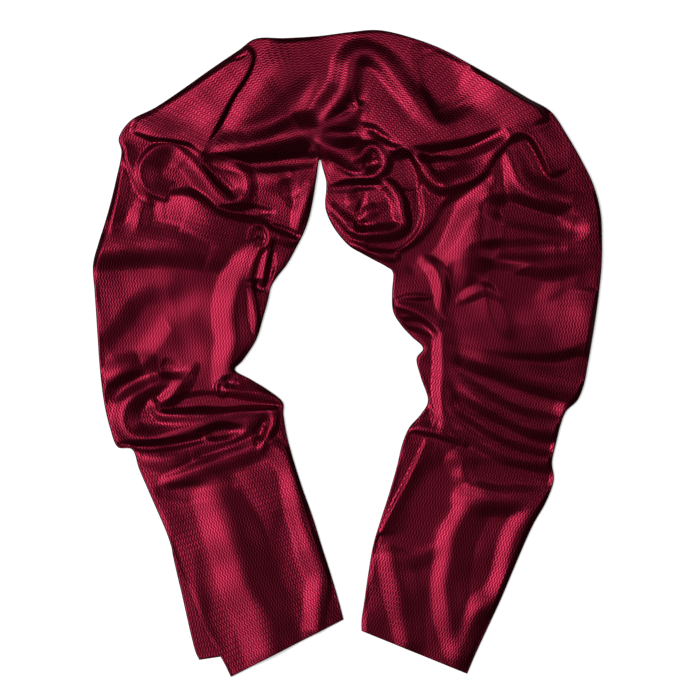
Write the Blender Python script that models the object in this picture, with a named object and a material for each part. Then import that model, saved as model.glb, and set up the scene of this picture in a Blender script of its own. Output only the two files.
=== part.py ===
"""A burgundy satin scarf, laid down in an arch with both tails towards the viewer.

The scarf is one long strip of cloth, folded in half lengthwise in the tails and loosely
gathered round the arch. Each stretch that shows is a thin wall of its own, and its folds
come from two tables: the sections across the strip and the folds drawn on it. The layers
hidden below share low rounded solids that lie flat on the ground.

Plan places are millimetres on a laying board, x to the right from its left edge and y
towards the viewer from its far edge. The finished part is in metres, +Z up, +Y away from
the viewer, with its origin on the ground under the middle of the scarf.
"""

from collections import namedtuple

import bmesh
import bpy
import numpy as np

MM = 0.001

# Sizes, in millimetres
BOARD_MIDDLE = np.array((347.0, 353.0))
WALL = 1.2
SEAM_GAP = 0.3
STATION_STEP = 10.6
COLUMNS = 22
EDGE_COLUMN = 3.0
EDGE_TOP = WALL + 0.1
LEAST_RISE = 1.5
LEAST_RISE_RUN = 6.0
EDGE_SLOPE = 1.25
FOLD_FADE = 9.0
FOLD_REACH = 1.35
SETTLED = 0.58
LOFT_KEPT = 0.6
LEAST_REACH = 13.0
LEAN_SHARE = 0.4
TAPER = 0.4
CREST_ROUNDNESS = 0.8
FOOT_SOFTNESS = 1.7
RIDGE_BLEND = 1.5
PILE_HEIGHT = 17.0
PILE_BLEND = 6.0
PILE_KEPT = 0.45
UNDER_LAYER_LIFT = WALL + SEAM_GAP

# The hidden layers
CORE_COLUMN_STEP = 2
CORE_STATION_STEP = 2
CORE_INSET_COLUMNS = 2
CORE_CLEARANCE = 1.6
CORE_LEAST_HEIGHT = 0.6
CORE_ROOM = 0.8

SATIN = (0.32, 0.012, 0.055, 1.0)
SATIN_SHADE = (0.16, 0.006, 0.028, 1.0)

# One row for each section across the strip, from the left hem round to the right hem.
# loft is how high the cloth stands just inside its edges, and ledge is how far the outer
# edge is lifted by the layer that lies under it.
Section = namedtuple("Section", "outer_x outer_y inner_x inner_y loft ledge")
SECTIONS = [
    Section(230.5, 677.0, 343.5, 619.5, 1.6, 1.5),
    Section(222.0, 660.0, 339.0, 602.0, 2.0, 1.5),
    Section(206.0, 634.0, 331.0, 575.0, 2.5, 1.5),
    Section(192.0, 600.0, 322.0, 547.0, 2.8, 1.5),
    Section(178.0, 569.0, 313.0, 518.0, 3.0, 1.5),
    Section(167.0, 535.0, 303.0, 490.0, 3.4, 1.2),
    Section(152.0, 500.0, 294.0, 462.0, 4.0, 0.6),
    Section(139.0, 470.0, 287.0, 436.0, 4.6, 0.0),
    Section(132.0, 450.0, 283.5, 415.0, 5.2, 0.0),
    Section(117.0, 447.0, 282.5, 402.0, 6.0, 0.0),
    Section(109.5, 428.0, 268.0, 390.0, 6.4, 0.0),
    Section(104.0, 405.0, 250.0, 379.0, 6.6, 0.0),
    Section(100.5, 380.0, 235.0, 370.0, 6.6, 0.0),
    Section(98.5, 358.0, 243.0, 360.0, 6.6, 0.0),
    Section(97.0, 335.0, 256.0, 340.0, 6.6, 0.0),
    Section(95.5, 312.0, 263.0, 318.0, 6.8, 0.0),
    Section(94.0, 290.0, 268.0, 300.0, 7.0, 0.0),
    Section(92.5, 265.0, 271.0, 287.0, 7.0, 0.0),
    Section(98.0, 243.0, 277.0, 277.0, 7.0, 0.0),
    Section(104.0, 224.0, 287.0, 264.0, 7.0, 0.0),
    Section(110.0, 203.0, 296.0, 248.0, 7.0, 0.0),
    Section(115.5, 180.0, 304.0, 232.0, 7.0, 0.0),
    Section(121.0, 153.0, 309.0, 218.0, 7.0, 0.0),
    Section(118.5, 137.0, 312.0, 205.0, 7.0, 0.0),
    Section(131.0, 119.5, 314.0, 194.0, 7.5, 0.0),
    Section(155.0, 107.0, 315.5, 184.0, 8.0, 0.0),
    Section(182.0, 89.0, 316.8, 176.0, 8.0, 0.0),
    Section(210.0, 69.0, 317.5, 170.0, 8.0, 0.0),
    Section(238.0, 50.0, 318.0, 166.0, 8.0, 0.0),
    Section(256.0, 38.0, 318.5, 162.5, 8.0, 0.0),
    Section(285.0, 37.5, 319.0, 160.5, 7.5, 0.0),
    Section(318.0, 35.5, 320.0, 159.5, 7.5, 0.0),
    Section(350.0, 31.5, 321.0, 161.0, 7.5, 0.0),
    Section(378.0, 29.5, 322.0, 166.0, 7.5, 0.0),
    Section(408.0, 36.0, 324.0, 173.0, 7.5, 0.0),
    Section(440.0, 47.5, 326.0, 181.0, 7.5, 0.0),
    Section(470.0, 63.5, 326.0, 191.0, 7.5, 0.0),
    Section(500.0, 80.5, 325.0, 201.0, 7.5, 0.0),
    Section(527.0, 97.0, 326.0, 211.0, 7.5, 0.0),
    Section(551.0, 111.0, 331.0, 223.0, 7.5, 0.0),
    Section(567.0, 134.0, 339.0, 235.0, 7.5, 0.0),
    Section(582.0, 160.0, 350.0, 246.5, 7.5, 0.0),
    Section(594.0, 185.0, 362.0, 253.5, 7.5, 0.0),
    Section(601.0, 212.0, 374.0, 260.0, 7.5, 0.0),
    Section(602.5, 240.0, 386.0, 266.5, 7.5, 0.0),
    Section(602.0, 266.0, 393.0, 273.0, 7.5, 0.0),
    Section(599.5, 292.0, 392.0, 292.0, 7.0, 0.0),
    Section(596.0, 318.0, 393.0, 311.0, 7.0, 0.0),
    Section(592.0, 343.0, 401.0, 325.0, 6.6, 0.0),
    Section(588.0, 366.0, 412.0, 337.0, 6.6, 0.0),
    Section(584.5, 384.0, 423.0, 348.0, 6.6, 0.0),
    Section(578.0, 400.0, 416.5, 359.0, 6.4, 0.0),
    Section(566.5, 411.5, 421.0, 378.0, 6.2, 0.0),
    Section(561.0, 425.0, 428.0, 400.0, 6.0, 0.0),
    Section(557.0, 441.0, 421.0, 414.0, 5.6, 0.0),
    Section(552.5, 462.0, 409.0, 428.0, 5.0, 0.0),
    Section(554.0, 481.0, 402.0, 445.0, 4.4, 0.0),
    Section(546.0, 503.0, 397.0, 466.0, 3.8, 0.0),
    Section(534.0, 524.0, 389.0, 494.0, 3.4, 0.0),
    Section(523.0, 548.0, 380.0, 522.0, 3.2, 0.0),
    Section(512.0, 574.0, 373.0, 546.0, 3.0, 0.0),
    Section(501.0, 600.0, 368.0, 575.0, 2.8, 0.0),
    Section(488.0, 628.0, 364.0, 603.0, 2.4, 0.0),
    Section(476.0, 654.0, 361.5, 620.0, 2.0, 0.0),
    Section(467.5, 674.0, 361.5, 631.0, 1.6, 0.0),
]

# One row for each stretch of the strip that shows, by the sections where it starts and ends.
Stretch = namedtuple("Stretch", "name first last")
STRETCHES = [
    Stretch("left_tail", 0, 8),
    Stretch("left_arm", 8, 24),
    Stretch("crown", 24, 40),
    Stretch("right_arm", 40, 55),
    Stretch("right_tail", 55, 64),
]
STRETCHES_WITH_CORE = ("left_arm", "crown", "right_arm", "right_tail")

# One row for each larger fold. The path runs along the crest so that the steep side is on
# the right hand, seen from above. near and far are how far the fold reaches on the steep
# and on the gentle side, lean is how far the crest overhangs for each millimetre of height,
# and start and end are the shares of the height left at the path's ends. A trough has a
# height below zero. The heights are those of the loose cloth, which has SETTLED to a share
# of them.
Fold = namedtuple("Fold", "path height near far lean start end", defaults=(0.0, 0.4, 0.4))
FOLDS = [
    # Crown
    Fold([(203, 151), (212, 134), (222, 114), (232, 95), (243, 79), (250, 65), (251, 54), (243, 46)],
         12, 7, 56, 0.5, 0.5, 0.5),
    Fold([(138, 133), (155, 137), (175, 140), (203, 150)], 7, 8, 26, 0.3, 0.5, 0.9),
    Fold([(243, 120), (262, 92), (285, 62), (300, 45)], 5, 22, 22, 0.0, 0.6, 0.6),
    Fold([(332, 62), (318, 85), (300, 108), (278, 125), (248, 137)], -5, 12, 14, 0.0, 0.5, 0.7),
    Fold([(203, 151), (235, 147), (262, 143), (288, 137), (312, 133), (325, 142), (340, 151), (356, 160)],
         14, 10, 20, 0.5, 0.5, 0.8),
    Fold([(212, 158), (260, 159), (316, 156)], -6, 10, 8, 0.0, 0.6, 0.8),
    Fold([(314, 131), (319, 117), (328, 104), (336, 92), (337, 76), (342, 63), (351, 55), (362, 53),
          (373, 56)], 12, 9, 12, 0.4, 0.7, 0.9),
    Fold([(446, 126), (432, 122), (420, 113), (409, 98), (397, 82), (386, 67), (374, 57), (362, 53)],
         12, 18, 9, 0.1, 0.4, 0.9),
    Fold([(438, 58), (443, 85), (449, 117)], -6, 20, 9, 0.0, 0.4, 0.9),
    Fold([(490, 72), (503, 94), (514, 114)], 10, 44, 32, 0.0, 0.8, 0.8),
    Fold([(358, 68), (361, 90), (363, 112)], -7, 9, 10, 0.0, 0.6, 0.6),
    Fold([(320, 128), (333, 123), (347, 117), (359, 109)], 7, 12, 8, 0.2, 0.6, 0.7),
    Fold([(322, 135), (340, 138), (356, 135)], -5, 9, 9),
    Fold([(367, 120), (378, 123), (389, 132), (400, 140), (415, 144), (440, 143), (468, 136), (500, 125),
          (530, 114), (549, 108)], 13, 10, 44, 0.4, 0.5, 0.5),
    Fold([(405, 155), (430, 152), (465, 148), (497, 137)], -5, 9, 9),
    Fold([(432, 163), (450, 162)], 3, 8, 8),
    # Right arm
    Fold([(374, 139), (388, 147), (400, 150), (412, 152), (420, 161), (427, 173), (436, 183), (445, 186)],
         10, 10, 10, 0.3, 0.4, 0.9),
    Fold([(388, 158), (398, 168), (405, 180)], -6, 12, 12),
    Fold([(445, 186), (462, 182), (476, 177), (486, 167), (493, 155), (502, 145), (510, 136)],
         12, 9, 16, 0.4, 0.8, 0.9),
    Fold([(510, 136), (519, 132), (530, 135), (538, 145), (545, 159), (551, 172), (562, 183), (580, 196)],
         12, 9, 22, 0.4, 0.8, 0.3),
    Fold([(508, 153), (514, 165), (519, 180), (527, 192), (540, 199), (560, 204), (588, 212)],
         9, 14, 8, 0.2, 0.5, 0.5),
    Fold([(518, 145), (526, 160), (531, 178)], -8, 10, 10),
    Fold([(495, 206), (530, 214), (572, 226)], -8, 14, 13, 0.0, 0.6, 0.6),
    Fold([(596, 208), (597, 240)], 4, 14, 6),
    Fold([(490, 232), (540, 236), (590, 243)], 6, 10, 12),
    Fold([(480, 249), (520, 249), (556, 248)], -6, 9, 9),
    Fold([(500, 263), (540, 268), (582, 262)], 6, 12, 12),
    Fold([(515, 281), (550, 283), (582, 277)], -5, 9, 9),
    Fold([(496, 168), (488, 184), (483, 204), (481, 228), (477, 250), (468, 270)],
         9, 32, 18, 0.0, 0.7, 0.6),
    Fold([(482, 183), (466, 197), (450, 209), (436, 232), (421, 247), (405, 256)], -8, 8, 8, 0.0, 0.6, 0.8),
    Fold([(478, 262), (500, 275), (530, 285), (560, 278)], -5, 16, 16),
    Fold([(451, 275), (450, 295), (447, 318)], -5, 7, 8, 0.0, 0.7, 0.7),
    Fold([(460, 300), (485, 289), (508, 300)], 3, 7, 7),
    Fold([(505, 300), (512, 322)], -4, 12, 12),
    Fold([(335, 211), (342, 218), (351, 227), (363, 233), (382, 233), (397, 231), (405, 223), (402, 212),
          (399, 199), (391, 187), (381, 180)], 9, 8, 12, 0.3, 0.5, 0.6),
    Fold([(407, 192), (410, 212), (404, 232), (388, 241), (365, 241)], -6, 5, 6, 0.0, 0.7, 0.6),
    Fold([(419, 190), (420, 215), (412, 240), (402, 252)], -5, 6, 6),
    Fold([(352, 178), (370, 177), (379, 173), (384, 165), (384, 156), (378, 148), (371, 146), (363, 152),
          (356, 160)], 9, 8, 8, 0.3, 0.5, 0.8),
    Fold([(362, 163), (374, 163)], -6, 7, 7),
    Fold([(352, 178), (340, 172), (329, 163)], 5, 5, 14, 0.2, 0.8, 0.5),
    Fold([(345, 203), (360, 201)], 3, 8, 8),
    Fold([(362, 215), (378, 208)], 3, 7, 7),
    Fold([(354, 226), (369, 226)], -5, 6, 6),
    Fold([(402, 272), (408, 290)], -4, 9, 12),
    Fold([(392, 304), (410, 309), (428, 318), (438, 328)], 6, 6, 8, 0.3, 0.7, 0.8),
    Fold([(402, 322), (420, 326), (432, 334)], -5, 6, 6),
    Fold([(412, 260), (428, 272), (438, 292), (441, 318)], 6, 10, 10),
    Fold([(440, 330), (440, 365), (439, 395), (441, 428)], 9, 7, 16, 0.0, 0.7, 0.8),
    Fold([(446, 336), (480, 345), (520, 351), (560, 349), (592, 338)], 8, 10, 34, 0.0, 0.6, 0.8),
    Fold([(452, 350), (485, 360), (525, 373), (560, 386), (582, 394)], 6, 13, 14, 0.0, 0.6, 0.7),
    Fold([(464, 368), (485, 382), (512, 397), (550, 407)], -5, 12, 14, 0.0, 0.5, 0.7),
    Fold([(446, 378), (475, 396), (497, 410), (517, 420), (537, 428), (556, 433)], 7, 11, 15, 0.0, 0.5, 0.7),
    Fold([(458, 406), (490, 426), (520, 440), (552, 448)], -5, 10, 12, 0.0, 0.5, 0.7),
    Fold([(444, 416), (470, 433), (496, 448), (522, 458), (549, 465)], 7, 10, 14, 0.0, 0.5, 0.7),
    Fold([(462, 468), (500, 477), (545, 477)], -5, 12, 13, 0.0, 0.4, 0.7),
    # Right tail
    Fold([(407, 427), (425, 430), (442, 434), (462, 443)], 6, 6, 9, 0.5, 0.6, 0.5),
    Fold([(381, 532), (392, 510), (404, 488), (414, 468), (426, 442)], 3.5, 9, 13, 0.0, 0.5, 0.6),
    Fold([(450, 460), (437, 488), (425, 512), (416, 534)], -7, 20, 16, 0.0, 0.4, 0.8),
    Fold([(452, 450), (462, 466), (470, 480)], 3, 12, 12),
    Fold([(377, 541), (400, 541), (430, 540)], -3, 13, 9, 0.0, 0.8, 0.4),
    Fold([(391, 556), (397, 580), (403, 605), (409, 640)], 4.5, 14, 16, 0.0, 0.7, 0.7),
    Fold([(462, 499), (500, 500), (545, 503)], 5, 14, 14, 0.0, 0.6, 0.7),
    Fold([(482, 496), (466, 515), (455, 540), (449, 570), (448, 605), (456, 646)], 5, 14, 17, 0.0, 0.7, 0.7),
    Fold([(550, 499), (531, 515), (519, 535), (512, 556), (507, 580), (496, 600), (479, 613), (469, 635),
          (463, 655)], 5.5, 14, 12, 0.0, 0.7, 0.7),
    # Left arm
    Fold([(121, 148), (130, 166), (140, 188), (150, 202)], 4, 5, 12, 0.1, 0.6, 0.4),
    Fold([(186, 156), (178, 148), (168, 145), (158, 147), (148, 154), (141, 164), (140, 176), (144, 186),
          (152, 193), (165, 197)], 6, 5, 9, 0.0, 0.7, 0.9),
    Fold([(152, 164), (164, 157), (176, 156)], -4, 8, 7),
    Fold([(148, 183), (162, 186), (178, 184)], -4, 8, 7),
    Fold([(165, 197), (185, 197), (200, 205), (213, 215), (230, 222), (254, 226)], 8, 16, 10, 0.0, 0.9, 0.6),
    Fold([(183, 153), (196, 168), (210, 186), (222, 198), (233, 203), (242, 199)],
         11, 9, 11, 0.1, 0.7, 0.9),
    Fold([(233, 203), (242, 199), (248, 189), (247, 178), (239, 167), (227, 160), (214, 157), (203, 153)],
         8, 8, 6, 0.0, 0.9, 0.5),
    Fold([(208, 165), (222, 180), (234, 194)], -6, 7, 7),
    Fold([(188, 176), (205, 198), (222, 208), (245, 212), (270, 213)], -6, 6, 6),
    Fold([(150, 162), (158, 172), (165, 184)], -4, 9, 9),
    Fold([(150, 208), (172, 222), (200, 236), (240, 243)], -7, 12, 12, 0.0, 0.5, 0.7),
    Fold([(255, 182), (278, 181), (296, 178)], 4, 12, 12),
    Fold([(286, 178), (292, 200)], -4, 8, 8),
    Fold([(311, 186), (302, 215), (298, 230)], 5, 9, 6),
    Fold([(253, 284), (266, 288)], -5, 6, 6),
    Fold([(270, 233), (282, 238), (297, 243)], 5, 7, 8),
    Fold([(122, 172), (116, 205), (110, 235)], 5, 6, 8, 0.0, 0.6, 0.6),
    Fold([(142, 208), (136, 228), (122, 246)], 5, 10, 10, 0.0, 0.6, 0.6),
    Fold([(98, 250), (125, 247), (160, 247), (185, 250), (207, 256)], 7, 19, 20, 0.0, 0.8, 0.5),
    Fold([(256, 252), (248, 265), (240, 282), (234, 300), (233, 320), (236, 340), (231, 358), (228, 376)],
         7, 17, 14, 0.0, 0.7, 0.6),
    Fold([(170, 297), (152, 303), (138, 318), (124, 338), (108, 350)], -4, 24, 14, 0.0, 0.5, 0.6),
    Fold([(186, 318), (186, 340), (182, 366)], 3, 20, 20),
    Fold([(160, 366), (178, 372)], -4, 9, 9),
    Fold([(108, 385), (122, 376), (140, 368)], 5, 12, 12),
    Fold([(110, 402), (128, 392), (150, 382)], -5, 7, 7),
    Fold([(190, 372), (180, 385), (168, 400), (160, 405)], 6, 9, 9),
    Fold([(170, 381), (152, 385), (137, 394), (127, 405), (124, 417), (127, 429), (137, 437), (153, 439),
          (175, 434), (200, 427), (225, 423), (245, 421)], 8, 8, 12, 0.2, 0.5, 0.6),
    Fold([(272, 411), (245, 411), (220, 415), (190, 416), (165, 414), (155, 405)], 8, 7, 10, 0.3, 0.8, 0.5),
    Fold([(165, 408), (195, 402), (225, 402), (272, 403)], -8, 8, 9, 0.0, 0.5, 0.5),
    Fold([(224, 380), (232, 383)], -5, 6, 6),
    Fold([(228, 392), (245, 396), (262, 399), (278, 401)], 8, 5, 9, 0.3, 0.7, 0.7),
    Fold([(205, 433), (235, 430)], -7, 8, 8),
    Fold([(122, 446), (160, 446), (200, 440)], -6, 5, 6),
    Fold([(262, 425), (258, 440)], -5, 6, 6),
    # Left tail
    Fold([(142, 458), (165, 459), (190, 455)], 5, 12, 8),
    Fold([(170, 480), (195, 471), (222, 462), (245, 453), (262, 444)], 5, 11, 9, 0.0, 0.4, 0.8),
    Fold([(165, 491), (195, 490), (228, 486)], -3, 10, 8),
    Fold([(318, 630), (321, 605), (325, 580), (320, 560), (311, 540), (304, 520), (300, 495), (295, 470),
          (284, 453), (268, 443)], 6, 8, 15, 0.0, 0.8, 0.8),
    Fold([(212, 496), (231, 538), (243, 578), (257, 612), (270, 648)], 6.5, 24, 26, 0.0, 0.8, 0.8),
]

# The lower half of the folded tail, which shows past the outer edge. The list goes round its
# outline from the hem.
UNDER_OUTLINE = [
    (199, 660.5), (205, 660.5), (221, 658.5), (246, 653), (300, 629), (330, 611),
    (321, 580), (309, 542), (297, 505), (285, 468), (274, 446), (146, 468), (158, 496),
    (173, 536), (172, 550),
    (176, 572), (181, 593), (185.5, 613), (191, 637), (196, 656),
]


def smooth_path(points, step):
    """Points along a Catmull-Rom curve through the given ones, about step apart."""
    points = np.asarray(points, float)
    ends = np.vstack((2 * points[0] - points[1], points, 2 * points[-1] - points[-2]))
    found = []
    for i in range(1, len(ends) - 2):
        before, start, end, after = ends[i - 1 : i + 3]
        count = max(2, int(np.ceil(np.linalg.norm(end - start) / step)))
        for t in np.arange(count) / count:
            found.append(
                0.5 * (2 * start + (end - before) * t
                       + (2 * before - 5 * start + 4 * end - after) * t * t
                       + (3 * start - before - 3 * end + after) * t ** 3)
            )
    found.append(points[-1])
    return np.array(found)


def nearest_on(path, places):
    """For each place: distance to the right of the path, overrun past its ends, share along it
    and the path's unit normal to the right there."""
    starts = path[:-1]
    runs = path[1:] - starts
    lengths = np.linalg.norm(runs, axis=1)
    reach = places[:, None, :] - starts[None]
    share = np.clip((reach * runs).sum(axis=2) / lengths ** 2, 0, 1)
    gaps = reach - share[..., None] * runs
    piece = (gaps ** 2).sum(axis=2).argmin(axis=1)
    rows = np.arange(len(places))
    along = runs[piece] / lengths[piece, None]
    right = np.stack((-along[:, 1], along[:, 0]), axis=1)
    gap = gaps[rows, piece]
    side = (reach[rows, piece] * right).sum(axis=1)
    distance = np.where(side < 0, -1.0, 1.0) * np.linalg.norm(gap, axis=1)
    past_end = ((piece == 0) & (share[rows, piece] == 0)) | (
        (piece == len(runs) - 1) & (share[rows, piece] == 1)
    )
    overrun = np.where(past_end, np.abs((gap * along).sum(axis=1)), 0.0)
    distance = np.where(past_end, side, distance)
    gone = np.concatenate(([0.0], np.cumsum(lengths)))
    place = (gone[piece] + share[rows, piece] * lengths[piece]) / gone[-1]
    return distance, overrun, place, right


def fold_form(fold, places):
    """Height that the fold adds at each place, and how far it pushes the cloth sideways. It has
    a round crest, an even slope and a soft foot."""
    distance, overrun, place, right = nearest_on(smooth_path(fold.path, 5.0), places)
    share = (
        1
        - (1 - fold.start) * np.clip(1 - place / TAPER, 0, 1) ** 2
        - (1 - fold.end) * np.clip(1 - (1 - place) / TAPER, 0, 1) ** 2
    )
    crest = SETTLED * fold.height * share
    offset = distance + LEAN_SHARE * fold.lean * np.abs(crest)
    near, far = (np.maximum(FOLD_REACH * reach * (0.5 + 0.5 * share), LEAST_REACH)
                 for reach in (fold.near, fold.far))
    width = np.where(offset > 0, near, far)
    gone = np.sqrt((offset / width) ** 2 + (overrun / np.minimum(near, far)) ** 2)
    fallen = np.sqrt(gone ** 2 + CREST_ROUNDNESS ** 2) - CREST_ROUNDNESS
    fallen /= np.sqrt(1 + CREST_ROUNDNESS ** 2) - CREST_ROUNDNESS
    height = crest * np.clip(1 - fallen, 0, None) ** FOOT_SOFTNESS
    return height, right * (LEAN_SHARE * fold.lean * np.abs(height))[:, None]


def all_folds(places):
    """Height and sideways push of all the folds together. The higher ridge wins where two
    meet, with a soft valley between them, and troughs are taken off what is left."""
    ridges = np.ones(len(places))
    troughs = np.zeros(len(places))
    push = np.zeros((len(places), 2))
    for fold in FOLDS:
        added, moved = fold_form(fold, places)
        if fold.height < 0:
            troughs += added
            continue
        weight = np.exp(added / RIDGE_BLEND)
        ridges += weight - 1
        push += weight[:, None] * moved
    return RIDGE_BLEND * np.log(ridges) + troughs, push / ridges[:, None]


def smooth_max(a, b, blend):
    return 0.5 * (a + b + np.sqrt((a - b) ** 2 + blend ** 2))


def section_rows(shares):
    """Section values at fractional row numbers, read from a smooth curve through the table."""
    table = np.array(SECTIONS, float)
    ends = np.vstack((2 * table[0] - table[1], table, 2 * table[-1] - table[-2]))
    row = np.clip(np.floor(shares).astype(int), 0, len(table) - 2)
    t = (shares - row)[:, None]
    before, start, end, after = (ends[row + k] for k in range(4))
    values = 0.5 * (2 * start + (end - before) * t + (2 * before - 5 * start + 4 * end - after) * t * t
                    + (3 * start - before - 3 * end + after) * t ** 3)
    values[:, 4:] = table[row, 4:] * (1 - t) + table[row + 1, 4:] * t
    return values


def stations(stretch):
    """Fractional section rows of a stretch, about one station step apart along its middle."""
    rows = np.linspace(stretch.first, stretch.last, 40 * (stretch.last - stretch.first) + 1)
    values = section_rows(rows)
    middle = 0.5 * (values[:, :2] + values[:, 2:4])
    gone = np.concatenate(([0.0], np.cumsum(np.linalg.norm(np.diff(middle, axis=0), axis=1))))
    outer = np.concatenate(([0.0], np.cumsum(np.linalg.norm(np.diff(values[:, :2], axis=0), axis=1))))
    gone = 0.5 * (gone + outer)
    count = max(4, int(round(gone[-1] / STATION_STEP)))
    return np.interp(np.linspace(0, gone[-1], count + 1), gone, rows)


def across(width):
    """Distances from the outer edge of the columns of a section, closer together at its edges."""
    inner = np.linspace(EDGE_COLUMN, width - EDGE_COLUMN, COLUMNS - 1)
    return np.concatenate(([0.0], inner, [width]))


def cloth_surface(places, loft, ledge_share, outer, inner):
    """Upper side of the cloth over each place: its height, and its place pushed by the folds."""
    from_outer = np.abs(nearest_on(outer, places)[0])
    from_inner = np.abs(nearest_on(inner, places)[0])
    inside = np.minimum(from_outer, from_inner)
    rise = 1 - np.clip(inside / (EDGE_SLOPE * loft), 0, 1)
    height = EDGE_TOP + loft * np.sqrt(1 - rise ** 2)
    lowest = EDGE_TOP + LEAST_RISE * np.clip(inside / LEAST_RISE_RUN, 0, 1)
    kept = np.clip(inside / FOLD_FADE, 0, 1)
    kept = kept * kept * (3 - 2 * kept)
    added, push = all_folds(places)
    height = smooth_max(height + added * kept, lowest, 0.6)
    height = height - (1 - PILE_KEPT) * smooth_max(height - PILE_HEIGHT, 0.0, PILE_BLEND)
    return height + ledge_share, places + push * kept[:, None]


def eased(top):
    """Grid points drawn a little towards their neighbours, which takes the steps out of slanting folds."""
    points = top.copy()
    points[:, 1:-1] = 0.5 * top[:, 1:-1] + 0.25 * (top[:, :-2] + top[:, 2:])
    middle = points.copy()
    points[1:-1] = 0.5 * middle[1:-1] + 0.25 * (middle[:-2] + middle[2:])
    points[:, [0, -1]] = top[:, [0, -1]]
    return points


def strip_grid():
    """The whole strip as stretches of grid points: top points, bottom points and ground height."""
    edge_rows = np.linspace(0, len(SECTIONS) - 1, 6 * len(SECTIONS))
    edges = section_rows(edge_rows)
    outer, inner = edges[:, :2], edges[:, 2:4]
    found = {}
    for stretch in STRETCHES:
        rows = stations(stretch)
        values = section_rows(rows)
        lines = values[:, 2:4] - values[:, :2]
        widths = np.linalg.norm(lines, axis=1)
        shares = np.array([across(width) / width for width in widths])
        plan = values[:, None, :2] + shares[..., None] * lines[:, None, :]
        loft = np.repeat(LOFT_KEPT * values[:, 4], shares.shape[1])
        ledge = values[:, 5:6] * (1 - np.clip((shares - 0.8) / 0.2, 0, 1) ** 2)
        height, pushed = cloth_surface(plan.reshape(-1, 2), loft, ledge.reshape(-1), outer, inner)
        top = eased(np.column_stack((pushed, height)).reshape(*shares.shape, 3))
        found[stretch.name] = (top, ledge, lines / widths[:, None])
    return found


def surface_normals(top, before, after):
    """Unit normals of a grid of points; before and after are the stations beyond its ends, if any."""
    beyond = [line[None] for line in (before, after) if line is not None]
    longer = np.concatenate((beyond[:1] if before is not None else []) + [top]
                            + (beyond[-1:] if after is not None else []))
    along = np.gradient(longer, axis=0)
    first = 1 if before is not None else 0
    along = along[first : first + len(top)]
    sideways = np.gradient(top, axis=1)
    normal = np.cross(along, sideways)
    normal /= np.linalg.norm(normal, axis=2, keepdims=True)
    return np.where(normal[..., 2:] < 0, -normal, normal)


def to_part(points):
    """Board millimetres to the part's metres."""
    points = np.asarray(points, float)
    x = points[..., 0] - BOARD_MIDDLE[0]
    y = BOARD_MIDDLE[1] - points[..., 1]
    return np.stack((x, y, points[..., 2]), axis=-1) * MM


def add_object(name, points, faces, material):
    """A mesh object whose faces are turned outwards."""
    mesh = bpy.data.meshes.new(name)
    form = bmesh.new()
    corners = [form.verts.new(p) for p in points]
    for face in faces:
        form.faces.new([corners[i] for i in face])
    bmesh.ops.recalc_face_normals(form, faces=form.faces)
    form.to_mesh(mesh)
    form.free()
    mesh.shade_smooth()
    mesh.materials.append(material)
    thing = bpy.data.objects.new(name, mesh)
    bpy.context.scene.collection.objects.link(thing)
    return thing


def closed_grid(upper, lower):
    """Points and faces of the closed body between two grids of the same shape."""
    rows, columns = upper.shape[:2]
    points = np.concatenate((upper.reshape(-1, 3), lower.reshape(-1, 3)))
    below = rows * columns
    number = np.arange(below).reshape(rows, columns)
    faces = []
    for i in range(rows - 1):
        for j in range(columns - 1):
            a, b, c, d = number[i, j], number[i, j + 1], number[i + 1, j + 1], number[i + 1, j]
            faces.append((a, b, c))
            faces.append((a, c, d))
            faces.append((below + a, below + c, below + b))
            faces.append((below + a, below + d, below + c))
    rim = np.concatenate((number[0, :], number[1:, -1], number[-1, -2::-1], number[-2:0:-1, 0]))
    for a, b in zip(rim, np.roll(rim, -1)):
        faces.append((a, below + a, below + b, b))
    return points, faces


def wall_grids(grid):
    """Upper and lower points of every stretch's wall, with the gaps between the stretches cut in."""
    names = [stretch.name for stretch in STRETCHES]
    walls = {}
    for k, name in enumerate(names):
        top, ledge, lines = grid[name]
        before = grid[names[k - 1]][0][-2] if k else None
        after = grid[names[k + 1]][0][1] if k + 1 < len(names) else None
        normal = surface_normals(top, before, after)
        upper = top.copy()
        for end, inward in ((0, 1), (-1, -1)):
            line = lines[end]
            ahead = np.array((line[1], -line[0], 0.0))
            way = top[end + inward].mean(axis=0) - top[end].mean(axis=0)
            ahead *= np.sign(ahead @ way)
            flat = normal[end] - (normal[end] @ ahead)[:, None] * ahead
            normal[end] = flat / np.linalg.norm(flat, axis=1)[:, None]
            joined = before if end == 0 else after
            if joined is not None:
                upper[end] += ahead * (SEAM_GAP / 2)
        lower = upper - WALL * normal
        lower[..., 2] = np.maximum(lower[..., 2], np.minimum(ledge, UNDER_LAYER_LIFT))
        walls[name] = (upper, lower)
    return walls


def core_grid(upper, lower):
    """Upper points of the hidden layers below a wall, kept clear of it everywhere."""
    rows = list(range(0, len(lower) - 1, CORE_STATION_STEP)) + [len(lower) - 1]
    columns = list(range(CORE_INSET_COLUMNS, lower.shape[1] - CORE_INSET_COLUMNS, CORE_COLUMN_STEP))
    reach_rows, reach_columns = CORE_STATION_STEP + 1, CORE_COLUMN_STEP + 1
    height = np.zeros((len(rows), len(columns)))
    for i, row in enumerate(rows):
        for j, column in enumerate(columns):
            near = lower[max(0, row - reach_rows) : row + reach_rows + 1,
                         max(0, column - reach_columns) : column + reach_columns + 1, 2]
            height[i, j] = max(CORE_LEAST_HEIGHT, CORE_ROOM * (near.min() - CORE_CLEARANCE))
    height[:, [0, -1]] = CORE_LEAST_HEIGHT
    places = lower[np.ix_(rows, columns)]
    top = np.concatenate((places[..., :2], height[..., None]), axis=2)
    for end, inward in ((0, 1), (-1, -1)):
        way = top[end + inward, :, :2] - top[end, :, :2]
        top[end, :, :2] += way / np.linalg.norm(way, axis=1)[:, None] * SEAM_GAP
    return top


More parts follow.
